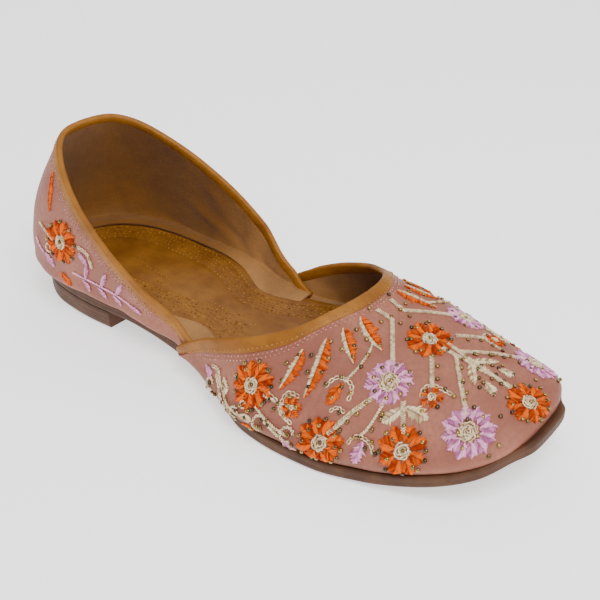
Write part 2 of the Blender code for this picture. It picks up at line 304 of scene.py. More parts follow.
def last_normals(foot, spine, turn):
    """Outward normals of the last at those points, from small steps along it and up it."""
    step = 0.02
    ahead = [np.gradient(part, axis=0) * step for part in (foot, spine)]
    along = last_point(foot + ahead[0], spine + ahead[1], turn) - last_point(foot - ahead[0], spine - ahead[1], turn)
    higher, lower = np.minimum(turn + step, np.pi / 2), np.maximum(turn - step, 0)
    return unit(np.cross(along, last_point(foot, spine, higher) - last_point(foot, spine, lower)))


def turn_at(height, along):
    """The turn at which a section of the last reaches this height."""
    bottom = sole_top(along) + GAP
    return np.arcsin(np.clip((height - bottom) / (ridge_height(along) - bottom), 0, 1))


def grid_normals(grid):
    """Outward normals of a half grid whose rows go up and whose stations go towards the toe."""
    across, up = np.gradient(grid, axis=0), np.gradient(grid, axis=1)
    found = np.cross(across, up)
    middle = grid[..., 0] < 1e-6
    found[..., 0] = np.where(middle, 0.0, found[..., 0])
    size = np.linalg.norm(found, axis=-1, keepdims=True)
    found = found / np.where(size > 1e-9, size, 1)
    return found * np.sign(found[..., 0].sum())


def offset(grid, normals, distance):
    """The grid moved out along its normals, with the middle of the shoe kept on the middle."""
    moved = grid + normals * distance
    moved[..., 0] = np.where(grid[..., 0] < 1e-6, 0.0, moved[..., 0])
    return moved


def crowded(count):
    """Shares from 0 to 1 that lie closer together towards 1."""
    return 1 - (1 - np.linspace(0, 1, count)) ** 1.5


def vamp_stations(edge, first, turn_in):
    """Stations along the feather line from the waist to the middle of the toe, close together round the throat."""
    straight = first + (edge - first) * crowded(84)
    points = outline(FEATHER, 400)
    points = points[np.searchsorted(points[:, 1], turn_in):]
    travel = travelled(points)
    at = np.linspace(0, travel[-1], 90)
    toe = on_line(at, travel, points)
    middle = np.linspace(edge, turn_in, 34)[1:-1]
    run = np.concatenate([straight, middle])
    foot = np.concatenate([np.stack([feather_out(run), run], 1), toe])
    ease = 1 - (1 - at / travel[-1]) ** 1.5
    spine_along = np.concatenate([run, turn_in + (SPINE_END - turn_in) * ease])
    spine = np.stack([np.zeros(len(foot)), spine_along], 1)
    return foot, spine


def ridge_crossing(below):
    """Where the topline, or a line below it, reaches the ridge."""
    along = np.linspace(THROAT - 2, THROAT + 25, 2000)
    height = edge_height(TOPLINE, INSTEP_HEIGHT, along, below) - ridge_height(along)
    return float(along[np.argmax(height >= 0)])


# What follows places and dresses the shoe. Shapes stay in millimetres from the heel back until a piece is made.
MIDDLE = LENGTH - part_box("outsole")[1].y / MM

# Camera of the photo: where it stands about the shoe, and its lens in pixels of the photo.
VIEW_TURN = math.radians(40.2)
VIEW_RISE = math.radians(34.2)
VIEW_ROLL = math.radians(0.88)
VIEW_DISTANCE = 481.0
VIEW_TARGET = np.array([0.0, 125.0, 20.0])
FOCAL = 602.0
LENS_CENTRE = np.array([484.0, 172.0])
TARGET_PIXEL = np.array([254.6, 346.2])
# Part of the photo that the picture frames: its corner and its width, in pixels of the photo.
CROP_CORNER = np.array([86.0, 163.0])
CROP_WIDTH = 347.0
PICTURE_WIDTH = 600.0


def view_axes():
    """The camera's right, up and back directions, one a row, and its place."""
    back = np.array([math.cos(VIEW_TURN) * math.cos(VIEW_RISE), math.sin(VIEW_TURN) * math.cos(VIEW_RISE),
                     math.sin(VIEW_RISE)])
    right = np.array([-math.sin(VIEW_TURN), math.cos(VIEW_TURN), 0.0])
    up = np.cross(back, right)
    cosine, sine = math.cos(VIEW_ROLL), math.sin(VIEW_ROLL)
    rows = np.array([cosine * right + sine * up, cosine * up - sine * right, back])
    towards = np.append((TARGET_PIXEL - LENS_CENTRE) * (1, -1) / FOCAL, -1.0)
    turn = Vector((0, 0, -1)).rotation_difference(Vector(towards)).to_matrix()
    return np.array(turn) @ rows, VIEW_TARGET + back * VIEW_DISTANCE


VIEW_ROWS, VIEW_PLACE = view_axes()


def add_camera():
    scale = PICTURE_WIDTH / CROP_WIDTH
    centre = (LENS_CENTRE - CROP_CORNER) * scale
    data = bpy.data.cameras.new("camera")
    data.sensor_width = 36.0
    data.lens = FOCAL * scale / PICTURE_WIDTH * data.sensor_width
    data.shift_x = (PICTURE_WIDTH / 2 - centre[0]) / PICTURE_WIDTH
    data.shift_y = (centre[1] - PICTURE_WIDTH / 2) / PICTURE_WIDTH
    data.clip_start = 0.01
    camera = bpy.data.objects.new("camera", data)
    camera.matrix_world = Matrix.Translation(in_scene(VIEW_PLACE)) @ Matrix(VIEW_ROWS.T.tolist()).to_4x4()
    bpy.context.scene.collection.objects.link(camera)
    bpy.context.scene.camera = camera


def in_scene(point):
    """Millimetres from the heel back to metres about the frame's origin."""
    return Vector((np.asarray(point, float) - (0, MIDDLE, 0)) * MM)


# Materials.
def colour(red, green, blue):
    """A colour as seen, 0 to 255, in the shader's linear scale."""
    seen = np.array([red, green, blue]) / 255
    return (*np.where(seen > 0.04045, ((seen + 0.055) / 1.055) ** 2.4, seen / 12.92), 1.0)


class Number:
    """A number socket, on which plain sums build the nodes."""

    def __init__(self, paint, socket):
        self.paint, self.socket = paint, socket

    def join(self, operation, first, second):
        return Number(self.paint, self.paint.node("Math", {"operation": operation}, {0: first, 1: second}).outputs[0])

    def __add__(self, other):
        return self.join("ADD", self, other)

    def __sub__(self, other):
        return self.join("SUBTRACT", self, other)

    def __mul__(self, other):
        return self.join("MULTIPLY", self, other)

    def __rsub__(self, other):
        return self.join("SUBTRACT", other, self)

    __radd__ = __add__
    __rmul__ = __mul__


class Paint:
    """The nodes of one material."""

    def __init__(self, name, **settings):
        self.material = bpy.data.materials.new(name)
        self.material.use_nodes = True
        self.tree = self.material.node_tree
        self.shader = self.tree.nodes["Principled BSDF"]
        for key, value in settings.items():
            self.shader.inputs[key.replace("_", " ")].default_value = value
        self.place = self.node("TexCoord").outputs["Object"]

    def node(self, kind, settings=None, sockets=None):
        """One node: its settings first, then each input by name or number."""
        made = self.tree.nodes.new("ShaderNode" + kind)
        for key, value in (settings or {}).items():
            setattr(made, key, value)
        for key, value in (sockets or {}).items():
            self.feed(made.inputs[key], value)
        return made

    def feed(self, socket, value):
        if isinstance(value, Number):
            value = value.socket
        if isinstance(value, bpy.types.NodeSocket):
            self.tree.links.new(value, socket)
        else:
            socket.default_value = value

    def noise(self, size, detail, scale=(1, 1, 1)):
        """Noise from 0 to 1 whose patches are about this many millimetres."""
        place = self.node("Mapping", {}, {"Vector": self.place, "Scale": scale}).outputs[0]
        sockets = {"Vector": place, "Scale": 1 / (size * MM), "Detail": detail, "Roughness": 0.55}
        return Number(self, self.node("TexNoise", {}, sockets).outputs[0])

    def cells(self, size):
        """Distance to the middle of pebble-like cells of this many millimetres."""
        made = self.node("TexVoronoi", {}, {"Vector": self.place, "Scale": 1 / (size * MM)})
        return Number(self, made.outputs["Distance"])

    def spread(self, number, low, high):
        """0 below low, 1 above high."""
        sockets = {"Value": number, "From Min": low, "From Max": high}
        return Number(self, self.node("MapRange", {"interpolation_type": "SMOOTHSTEP"}, sockets).outputs[0])

    def tone(self):
        """The shade of each stitch or bead, 0 to 1."""
        return Number(self, self.node("Attribute", {"attribute_name": "tone"}).outputs["Fac"])

    def axis(self, name):
        """Place along X, Y or Z in millimetres."""
        made = self.node("SeparateXYZ", {}, {0: self.place})
        return Number(self, made.outputs[name]) * (1 / MM)

    def mix(self, factor, first, second):
        return self.node("Mix", {"data_type": "RGBA"}, {0: factor, 6: first, 7: second}).outputs[2]

    def finish(self, base, roughness=None, height=None, depth=0.1):
        """Join the colour, the roughness and a relief of this many millimetres."""
        self.feed(self.shader.inputs["Base Color"], base)
        if roughness is not None:
            self.feed(self.shader.inputs["Roughness"], roughness)
        if height is not None:
            bump = self.node("Bump", {}, {"Strength": 1.0, "Distance": depth * MM, "Height": height})
            self.feed(self.shader.inputs["Normal"], bump.outputs[0])
        return self.material


def rose_leather():
    paint = Paint("rose_leather", Coat_Weight=0.03, Coat_Roughness=0.45, Specular_IOR_Level=0.22)
    blotch = paint.spread(paint.noise(22, 2), 0.3, 0.72)
    fine = paint.noise(1.6, 4)
    base = paint.mix(blotch, colour(148, 90, 73), colour(170, 109, 88))
    base = paint.mix(paint.spread(fine, 0.35, 0.7) * 0.4, base, colour(136, 79, 67))
    # Painted shade: the leather is darkened into a deep brown towards the bottom, over its lowest 2 to 14 mm with a
    # noisy edge, as if less light reached it there.
    low = 1 - paint.spread(paint.axis("Z") - paint.noise(9, 2) * 6, 2, 14)
    base = paint.mix(low * 0.6, base, colour(100, 58, 44))
    grain = paint.cells(0.9) * 0.6 + paint.noise(0.5, 2) * 0.5 + paint.noise(7, 2) * 1.6
    return paint.finish(base, fine * 0.16 + 0.47, grain, 0.16)


def tan_leather(name, light, dark, rough, wear=0.3):
    paint = Paint(name, Coat_Weight=0.03, Coat_Roughness=0.4, Specular_IOR_Level=0.25)
    blotch = paint.spread(paint.noise(17, 2), 0.2, 0.8)
    base = paint.mix(blotch, dark, light)
    streak = paint.spread(paint.noise(2.4, 3, scale=(1, 0.35, 1)), 0.4, 0.75)
    base = paint.mix(streak * wear, base, colour(98, 58, 14))
    grain = paint.cells(0.7) * 0.5 + paint.noise(0.4, 2) * 0.5 + paint.noise(4, 2)
    return paint.finish(base, paint.noise(3, 3) * 0.2 + rough, grain, 0.13)


def lining_suede():
    paint = Paint("lining_suede", Sheen_Weight=0.15, Sheen_Roughness=0.6, Specular_IOR_Level=0.25)
    along = paint.axis("Y") + paint.noise(18, 2) * 18
    front = paint.spread(along, -64, -28) * (1 - paint.spread(along, -2, 12))
    base = paint.mix(front, colour(120, 74, 6), colour(164, 114, 58))
    base = paint.mix(paint.spread(paint.noise(16, 4), 0.38, 0.72) * 0.4, base, colour(88, 48, 2))
    relief = paint.noise(9, 3) * 2.5 + paint.noise(0.6, 3)
    return paint.finish(base, paint.noise(3, 3) * 0.2 + 0.5, relief, 0.25)


def sole_leather(name, side, edge):
    paint = Paint(name, Specular_IOR_Level=0.2)
    base = paint.mix(paint.spread(paint.noise(9, 3), 0.3, 0.72), side, edge)
    base = paint.mix(paint.spread(paint.noise(1.1, 4), 0.5, 0.8) * 0.3, base, colour(70, 46, 34))
    return paint.finish(base, paint.noise(2, 3) * 0.2 + 0.45, paint.noise(0.5, 3) + paint.noise(3, 2), 0.1)


def thread(name, light, dark, sheen):
    paint = Paint(name, Roughness=0.42, Sheen_Weight=sheen, Sheen_Roughness=0.35, Specular_IOR_Level=0.08)
    # The tone mixes dark and light thread: it varies at random from stitch to stitch, and on petals and buds it also
    # carries painted shade, one half lighter than the other.
    base = paint.mix(paint.tone(), dark, light)
    return paint.finish(base, height=paint.noise(0.25, 2), depth=0.05)


def bronze_bead():
    paint = Paint("bronze_bead", Metallic=0.85, Roughness=0.16, Coat_Weight=0.6, Coat_Roughness=0.05)
    base = paint.mix(paint.tone(), colour(58, 40, 14), colour(170, 136, 66))
    return paint.finish(base)


def pale_floor():
    paint = Paint("pale_floor", Specular_IOR_Level=0.15)
    paint.shader.inputs["Emission Color"].default_value = (1.0, 1.0, 1.0, 1.0)
    paint.shader.inputs["Emission Strength"].default_value = 1.0
    base = paint.mix(paint.noise(400, 2), colour(252, 252, 252), colour(248, 248, 248))
    return paint.finish(base, 0.8 + paint.noise(60, 1) * 0.05)


# Making pieces.
def piece(name, points, faces, material, slot, nodes=(), tones=None, sharp=None):
    """One piece of the shoe from points in millimetres. It takes the place of the solids named."""
    faces = [list(dict.fromkeys(face)) for face in faces.tolist()]
    faces = [face for face in faces if len(face) > 2]
    mesh = bpy.data.meshes.new(name)
    mesh.from_pydata(((points - (0, MIDDLE, 0)) * MM).tolist(), [], faces)
    mesh.update()
    if tones is not None:
        mesh.attributes.new("tone", "FLOAT", "POINT").data.foreach_set("value", np.asarray(tones, np.float32))
    mesh.materials.append(material)
    mesh.shade_smooth()
    if sharp:
        mesh.set_sharp_from_angle(angle=math.radians(sharp))
    made = bpy.data.objects.new(name, mesh)
    bpy.context.scene.collection.objects.link(made)
    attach(made, "root")
    for node in nodes:
        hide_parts(node)
    return made


def quads(stations, rows, closed=False):
    """Faces of a grid of points, station by station, whose last row may join its first."""
    number = np.arange(stations * rows).reshape(stations, rows)
    if closed:
        number = np.concatenate([number, number[:, :1]], axis=1)
    return np.stack([number[:-1, :-1], number[1:, :-1], number[1:, 1:], number[:-1, 1:]], -1).reshape(-1, 4)


def both_sides(points, faces):
    """The half on the +X side and its mirror image, joined on the middle."""
    both = np.concatenate([points, points * (-1, 1, 1)])
    faces = np.concatenate([faces, faces[:, ::-1] + len(points)])
    near = np.round(both, 3)
    faces = faces[np.abs(near[faces][..., 0]).max(1) > 0]
    first, index = np.unique(near, axis=0, return_index=True, return_inverse=True)[1:]
    return both[first], index.reshape(-1)[faces]


def shell(name, rings, material, slot, nodes=(), sharp=50, closed=True):
    """A piece whose half is rings, station by station, closed or open on the middle. End rings off it are filled."""
    stations, rows = rings.shape[:2]
    faces = quads(stations, rows, closed)
    points = rings.reshape(-1, 3)
    for ring, way in ((0, 1), (stations - 1, -1)):
        middle = np.full(rows, len(points))
        points = np.concatenate([points, rings[ring].mean(0, keepdims=True)])
        number = np.arange(rows) + ring * rows
        if rings[ring][:, 0].max() >= 1e-6:
            cap = np.stack([number, np.roll(number, -1), middle, middle], 1)
            faces = np.concatenate([faces, cap[:, ::way]])
    return piece(name, *both_sides(points, faces), material, slot, nodes, sharp=sharp)


def sheet_ring(outer, inner):
    """Closed rings round a wall: up its outer face and down its inner one."""
    return np.concatenate([outer, inner[:, ::-1]], axis=1)


class Ground:
    """A surface that stitches and beads are laid on, with both its sides."""

    def __init__(self, *grids):
        points, faces, start = [], [], 0
        for grid in grids:
            some, corners = both_sides(grid.reshape(-1, 3), quads(*grid.shape[:2]))
            points.append(some)
            faces.append(corners + start)
            start += len(some)
        self.tree = BVHTree.FromPolygons(np.concatenate(points).tolist(), np.concatenate(faces).tolist())

    def seen(self, pixel):
        """The point that shows at a pixel of the photo."""
        towards = np.append((np.asarray(pixel, float) - LENS_CENTRE) * (1, -1) / FOCAL, -1.0) @ VIEW_ROWS
        hit = self.tree.ray_cast(Vector(VIEW_PLACE), Vector(towards))[0]
        if hit is None:
            steps = VIEW_PLACE + np.linspace(300, 650, 176)[:, None] * towards / np.linalg.norm(towards)
            near = [self.tree.find_nearest(Vector(step)) for step in steps]
            hit = min(near, key=lambda found: found[3])[0]
        return np.array(hit)

    def lay(self, points):
        """The nearest points of the surface, and its normals there, facing out."""
        places, normals = [], []
        for point in np.reshape(points, (-1, 3)):
            place, normal = self.tree.find_nearest(Vector(point))[:2]
            places.append(place)
            normals.append(normal)
        return np.array(places).reshape(np.shape(points)), np.array(normals).reshape(np.shape(points))


# Embroidery.
SHADES = np.random.default_rng(11)
THREAD = 0.28
SAMPLES = 5
ARCH = np.array([0.0, 0.8, 1.0, 0.8, 0.0])
TUBE_SIDES = 5
CHAIN_LOOP, CHAIN_THREAD = 1.9, 0.24
CURL_TURN = 300.0


def flips(mirror):
    """What the near side's points are multiplied by: 1 for itself, and the flip for the far side where mirrored."""
    return ((1, 1, 1), (-1, 1, 1)) if mirror else ((1, 1, 1),)


class Skein:
    """The stitches of one thread: lines on the leather with the way out of it, made into one piece of fine tubes."""

    def __init__(self):
        self.lines, self.normals, self.radii, self.tones = [], [], [], []

    def sew(self, lines, normals, tone, radius=THREAD, mirror=True):
        tone = np.clip(tone + SHADES.normal(0, 0.24, len(lines)), 0, 1)
        for flip in flips(mirror):
            self.lines.append(lines * flip)
            self.normals.append(normals * flip)
            self.radii.append(np.full(len(lines), radius))
            self.tones.append(tone)

    def make(self, name, material):
        lines, normals = np.concatenate(self.lines), np.concatenate(self.normals)
        radii, tones = np.concatenate(self.radii), np.concatenate(self.tones)
        ahead = np.gradient(lines, axis=1)
        ahead /= np.linalg.norm(ahead, axis=2, keepdims=True) + 1e-9
        side = np.cross(ahead, normals)
        side /= np.linalg.norm(side, axis=2, keepdims=True) + 1e-9
        out = np.cross(side, ahead)
        count, along = lines.shape[:2]
        taper = np.array([0.35] + [1.0] * (along - 2) + [0.35])
        angle = np.arange(TUBE_SIDES) * 2 * np.pi / TUBE_SIDES
        reach = radii[:, None, None, None] * taper[None, :, None, None]
        ring = side[:, :, None] * np.cos(angle)[:, None] + out[:, :, None] * np.sin(angle)[:, None]
        points = (lines[:, :, None] + ring * reach).reshape(-1, 3)
        one = quads(along, TUBE_SIDES, closed=True)
        ends = np.array([[4, 3, 2, 2], [4, 2, 1, 0]])
        one = np.concatenate([one, ends[:, ::-1], ends + (along - 1) * TUBE_SIDES])
        faces = (one[None] + (np.arange(count) * along * TUBE_SIDES)[:, None, None]).reshape(-1, 4)
        return piece(name, points, faces, material, "thread", tones=np.repeat(tones, along * TUBE_SIDES))


class Patch:
    """A flat drawing laid on the leather round one point, with its first axis towards another."""

    def __init__(self, ground, middle, towards):
        self.ground = ground
        self.middle, normal = ground.lay(middle)
        ahead = towards - self.middle
        self.ahead = unit(ahead - normal * (ahead @ normal))
        self.side = np.cross(normal, self.ahead)

    def lay(self, flat, lift):
        points = self.middle + flat[..., :1] * self.ahead + flat[..., 1:] * self.side
        places, normals = self.ground.lay(points)
        return places + normals * np.broadcast_to(lift, flat.shape[:-1])[..., None], normals


def across(starts, ends):
    """Straight stitches between pairs of flat points."""
    share = np.linspace(0, 1, SAMPLES)[None, :, None]
    return starts[:, None] * (1 - share) + ends[:, None] * share


LEAF_FORM = ((0.0, 0.18, 0.42, 0.72, 1.0), (0.16, 0.8, 1.0, 0.68, 0.06))
PETAL_FORM = ((0.0, 0.2, 0.45, 0.75, 1.0), (0.7, 1.0, 0.86, 0.42, 0.04))


def satin(patch, skeins, start, length, width, slant, tones, bend=0.0, spacing=0.58, mirror=True, angle=0.0,
          rise=0.42, form=LEAF_FORM, fullness=(1.0, 1.0)):
    """A leaf or petal in satin stitch: one row of stitches on each side of its midrib. Skeins: one for each side.
    Tones: the tone of each side; where they differ, one side is painted lighter and the other darker as painted light
    and shade of its slanted stitches.
    """
    count = max(int(length / spacing), 4)
    share = np.linspace(0.04, 0.97, count)
    turn = np.array([[math.cos(angle), math.sin(angle)], [-math.sin(angle), math.cos(angle)]])
    for skein, way, tone, full in zip(skeins, (1, -1), tones, fullness):
        half = full * width * through(*form, share) * (1 + SHADES.normal(0, 0.14, count))
        rib = np.stack([start + share * length, bend * 4 * share * (1 - share) - way * 0.12], 1)
        edge = rib + np.stack([half * slant, half * way], 1)
        flat = across(rib, edge) @ turn
        points, normals = patch.lay(flat, 0.1 + rise * ARCH)
        skein.sew(points, normals, tone, mirror=mirror)


def flower(ground, pixel, radius, petals, skein, heart, turn, mirror=True, spiky=False, inner=0.27):
    """A round flower: petals in satin stitch about a heart of short radial stitches."""
    middle = ground.seen(pixel)
    patch = Patch(ground, middle, middle + (0.0, 10.0, 4.0))
    for index in range(petals):
        angle = turn + index * 2 * math.pi / petals
        reach = radius * (1 + 0.06 * math.sin(index * 2.4 + turn * 3))
        width = radius * math.sin(math.pi / petals) * (0.98 if spiky else 0.8)
        # Painted shade: one half of each petal gets a light tone and the other a dark one, the light and shade of its
        # slanted stitches painted into the thread.
        satin(patch, (skein, skein), radius * inner, reach * (1 - inner), width, angle=angle, mirror=mirror,
              spacing=0.66, slant=0.95, tones=(0.85, 0.2), form=PETAL_FORM)
    for ring in np.arange(0.9, radius * inner + 0.4, 0.62):
        count = max(int(2 * math.pi * ring / 1.1), 4)
        angles = np.arange(count) * 2 * np.pi / count + SHADES.uniform(0, 6)
        step = 2.6 * np.pi / count
        near, far = ring * SHADES.normal((1.08, 0.94), 0.11, (count, 2)).T[..., None]
        start = np.stack([np.cos(angles), np.sin(angles)], 1) * near
        end = np.stack([np.cos(angles + step), np.sin(angles + step)], 1) * far
        points, normals = patch.lay(across(start, end), 0.25 + 0.35 * ARCH)
        heart.sew(points, normals, 0.6, mirror=mirror)
    return patch


def smooth_line(points, spacing):
    """Evenly spaced points on a soft curve through some points."""
    points = np.asarray(points, float)
    travel = travelled(points)
    fine = np.linspace(0, travel[-1], max(int(travel[-1] * 6), 8))
    curve = np.stack([through(travel, points[:, axis], fine) for axis in range(points.shape[1])], 1)
    run = travelled(curve)
    return on_line(np.linspace(0, run[-1], max(int(round(run[-1] / spacing)), 2) + 1), run, curve)


def stem(ground, pixels, skein, width, spacing, tone=0.65, rise=0.4):
    """A stem in fishbone stitch: short slanting stitches from its edges to its middle."""
    places, normals = ground.lay(smooth_line([ground.seen(pixel) for pixel in pixels], spacing))
    ahead = unit(np.gradient(places, axis=0))
    side = np.cross(normals, ahead)
    for way in (1, -1):
        start = places + side * way * width / 2 - ahead * spacing * 0.3
        end = places - side * way * width * 0.12 + ahead * spacing * 0.9
        laid, out = ground.lay(across(start, end))
        skein.sew(laid + out * (0.12 + rise * ARCH)[None, :, None], out, tone)


def chain(ground, pixels, skein):
    """A line of looped chain stitches."""
    places, normals = ground.lay(smooth_line([ground.seen(pixel) for pixel in pixels], CHAIN_LOOP))
    ahead = np.diff(places, axis=0)
    side = np.cross(normals[:-1], ahead)
    loop = np.array([(0.0, 0.05), (0.3, 0.27), (0.65, 0.33), (0.95, 0.2), (1.1, 0.0)])
    for way in (1, -1):
        lines = (places[:-1, None] + ahead[:, None] * loop[None, :, :1] + side[:, None] * loop[None, :, 1:] * way)
        laid, out = ground.lay(lines)
        skein.sew(laid + out * 0.3, out, 0.7, radius=CHAIN_THREAD)


def curl(ground, pixel, radius, skein):
    """A small curl of chain stitches, open at one side."""
    middle = ground.seen(pixel)
    patch = Patch(ground, middle, middle + (0.0, 10.0, 3.0))
    count = max(int(math.radians(CURL_TURN) * radius / 1.5), 3)
    angles = np.radians(np.linspace(0, CURL_TURN, count + 1))
    ring = np.stack([np.cos(angles), np.sin(angles)], 1)
    for inner, outer in ((0.72, 1.12), (1.12, 0.78)):
        flat = across(ring[:-1] * radius * inner, ring[1:] * radius * outer)
        points, normals = patch.lay(flat, 0.15 + 0.35 * ARCH)
        skein.sew(points, normals, 0.65, radius=0.25)


def between(ground, first, last):
    """A flat drawing between two pixels, and its length."""
    start, end = ground.seen(first), ground.seen(last)
    return Patch(ground, (start + end) / 2, end), np.linalg.norm(end - start)


def bud(ground, first, last, width, skein):
    """A small pointed bud between two pixels, in satin stitch."""
    patch, length = between(ground, first, last)
    # Painted shade: one half of the bud gets a lighter tone than the other.
    satin(patch, (skein, skein), -length / 2, length, width, slant=0.7, tones=(0.8, 0.4))


def split_leaf(ground, first, last, width, orange, cream, bend):
    """A long leaf between two pixels, orange on one side of its midrib and cream on the other."""
    patch, length = between(ground, first, last)
    satin(patch, (orange, cream), -length / 2, length, width, slant=0.25, tones=(0.6, 0.6), bend=bend, spacing=0.56,
          rise=0.5, fullness=(1.3, 0.75))


class Beads:
    """Places of the beads, made into one piece."""

    def __init__(self):
        self.places, self.normals, self.sizes = [], [], []

    def add(self, places, normals, size, mirror):
        for flip in flips(mirror):
            self.places.append(np.reshape(places, (-1, 3)) * flip)
            self.normals.append(np.reshape(normals, (-1, 3)) * flip)
            self.sizes.append(np.full(len(self.places[-1]), size))

    def at(self, ground, pixels, mirror=True):
        places, normals = ground.lay(np.array([ground.seen(pixel) for pixel in pixels]))
        self.add(places + normals * 0.45, normals, 0.95, mirror)

    def make(self, name, material):
        cloud = (np.concatenate(part) for part in (self.places, self.normals, self.sizes))
        return sown(name, *cloud, bead_shape(), material, "beads")


def bead_shape():
    """A faceted bead one unit in radius, a little flattened."""
    rings = ((0.22, 0.6), (0.62, 0.48), (0.92, 0.2), (0.95, -0.15), (0.6, -0.5))
    sides = 8
    points = [(radius * math.cos((k + 0.5 * row) * 2 * math.pi / sides),
               radius * math.sin((k + 0.5 * row) * 2 * math.pi / sides), height)
              for row, (radius, height) in enumerate(rings) for k in range(sides)]
    return np.array(points), capped(len(rings), sides)


def capped(stations, sides):
    """Faces of a small closed body: rings from one end to the other, with a face on each end."""
    first = list(range(sides))
    last = [number + (stations - 1) * sides for number in reversed(first)]
    return quads(stations, sides, closed=True).tolist() + [first, last]


def sown(name, places, normals, sizes, shape, material, slot, turns=None):
    """One small shape set on many points, turned to their normals, scaled and made into one piece."""
    points, corners = shape
    small = bpy.data.meshes.new(name + "_shape")
    small.from_pydata((points * MM).tolist(), [], corners)
    small.shade_smooth()
    model = bpy.data.objects.new(name + "_shape", small)
    cloud = bpy.data.meshes.new(name)
    cloud.from_pydata(((places - (0, MIDDLE, 0)) * MM).tolist(), [], [])
    rows = [("out", "FLOAT_VECTOR", normals), ("size", "FLOAT", sizes),
            ("tone", "FLOAT", SHADES.uniform(0, 1, len(places)))]
    if turns is not None:
        rows.append(("along", "FLOAT_VECTOR", turns))
    for key, kind, values in rows:
        field = "vector" if kind == "FLOAT_VECTOR" else "value"
        cloud.attributes.new(key, kind, "POINT").data.foreach_set(field, np.asarray(values, np.float32).ravel())
    host = bpy.data.objects.new(name, cloud)
    bpy.context.scene.collection.objects.link(host)
    tree = sowing_tree(name, material, turns is not None)
    modifier = host.modifiers.new("sowing", "NODES")
    modifier.node_group = tree
    for socket in tree.interface.items_tree:
        if socket.name == "Shape":
            modifier[socket.identifier] = model
        elif socket.name == "Scale":
            modifier[socket.identifier] = 1.0
    bpy.context.view_layer.update()
    grown = host.evaluated_get(bpy.context.evaluated_depsgraph_get())
    mesh = bpy.data.meshes.new_from_object(grown)
    host.modifiers.remove(modifier)
    old = host.data
    host.data = mesh
    bpy.data.meshes.remove(old)
    bpy.data.objects.remove(model)
    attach(host, "root")
    return host


def sowing_tree(name, material, turned):
    """Instance on points, align to the way out and the way along, scale, realize, set the material."""
    tree = bpy.data.node_groups.new(name + "_sowing", "GeometryNodeTree")
    tree.interface.new_socket("Geometry", in_out="INPUT", socket_type="NodeSocketGeometry")
    tree.interface.new_socket("Shape", in_out="INPUT", socket_type="NodeSocketObject")
    tree.interface.new_socket("Scale", in_out="INPUT", socket_type="NodeSocketFloat")
    tree.interface.new_socket("Geometry", in_out="OUTPUT", socket_type="NodeSocketGeometry")
    nodes, link = tree.nodes, tree.links.new

    def named(key, kind):
        node = nodes.new("GeometryNodeInputNamedAttribute")
        node.data_type = kind
        node.inputs["Name"].default_value = key
        return node.outputs["Attribute"]

    start, end = nodes.new("NodeGroupInput"), nodes.new("NodeGroupOutput")
    info = nodes.new("GeometryNodeObjectInfo")
    link(start.outputs["Shape"], info.inputs["Object"])
    align = nodes.new("FunctionNodeAlignRotationToVector")
    align.axis = "Z"
    link(named("out", "FLOAT_VECTOR"), align.inputs["Vector"])
    turn = align.outputs["Rotation"]
    if turned:
        second = nodes.new("FunctionNodeAlignRotationToVector")
        second.axis, second.pivot_axis = "X", "Z"
        link(turn, second.inputs["Rotation"])
        link(named("along", "FLOAT_VECTOR"), second.inputs["Vector"])
        turn = second.outputs["Rotation"]
    size = nodes.new("ShaderNodeMath")
    size.operation = "MULTIPLY"
    link(named("size", "FLOAT"), size.inputs[0])
    link(start.outputs["Scale"], size.inputs[1])
    place = nodes.new("GeometryNodeInstanceOnPoints")
    link(start.outputs["Geometry"], place.inputs["Points"])
    link(info.outputs["Geometry"], place.inputs["Instance"])
    link(turn, place.inputs["Rotation"])
    link(size.outputs[0], place.inputs["Scale"])
    realize, paint = nodes.new("GeometryNodeRealizeInstances"), nodes.new("GeometryNodeSetMaterial")
    paint.inputs["Material"].default_value = material
    link(place.outputs["Instances"], realize.inputs["Geometry"])
    link(realize.outputs["Geometry"], paint.inputs["Geometry"])
    link(paint.outputs["Geometry"], end.inputs["Geometry"])
    return tree


def stitch_shape(length):
    """A plump stitch of this length along X, about a third of a unit thick."""
    along = ((-0.5, -0.02), (-0.42, 0.1), (-0.2, 0.17), (0.2, 0.17), (0.42, 0.1), (0.5, -0.02))
    points, sides = [], 6
    for place, radius in along:
        reach, lift = max(radius, 0.04), 0.06 if radius > 0.1 else 0.0
        for turn in (k * 2 * math.pi / sides for k in range(sides)):
            points.append((place * length, -reach * math.cos(turn), reach * math.sin(turn) + lift))
    return np.array(points), capped(len(along), sides)


def stitch_line(line, normals, pitch):
    """Middles, ways out and ways along of stitches that follow a line of points."""
    travel = travelled(line)
    count = int(travel[-1] / pitch)
    at = (np.arange(count) + 0.5) * travel[-1] / count
    ahead = on_line(at + 0.3, travel, line) - on_line(at - 0.3, travel, line)
    return on_line(at, travel, line), on_line(at, travel, normals), ahead


# The upper, its lining and its bands. Backs of the leather and of the lining: mm out from the last.
LEATHER_BACK, LINING_BACK = -1.0, -1.06
BAND_STATIONS, PAST_THROAT = 110, 15
QUARTER_STATIONS = 150
VAMP_ROWS, QUARTER_ROWS = 54, 44
UNDER_BAND = 0.5
# How high over the sole the lasted edges lie: leather outside and inside, lining outside and inside, mm.
LEATHER_LIFTS, VAMP_LINING_LIFTS, QUARTER_LINING_LIFTS = (0.05, 0.9), (0.95, 1.4), (3.5, 4.3)


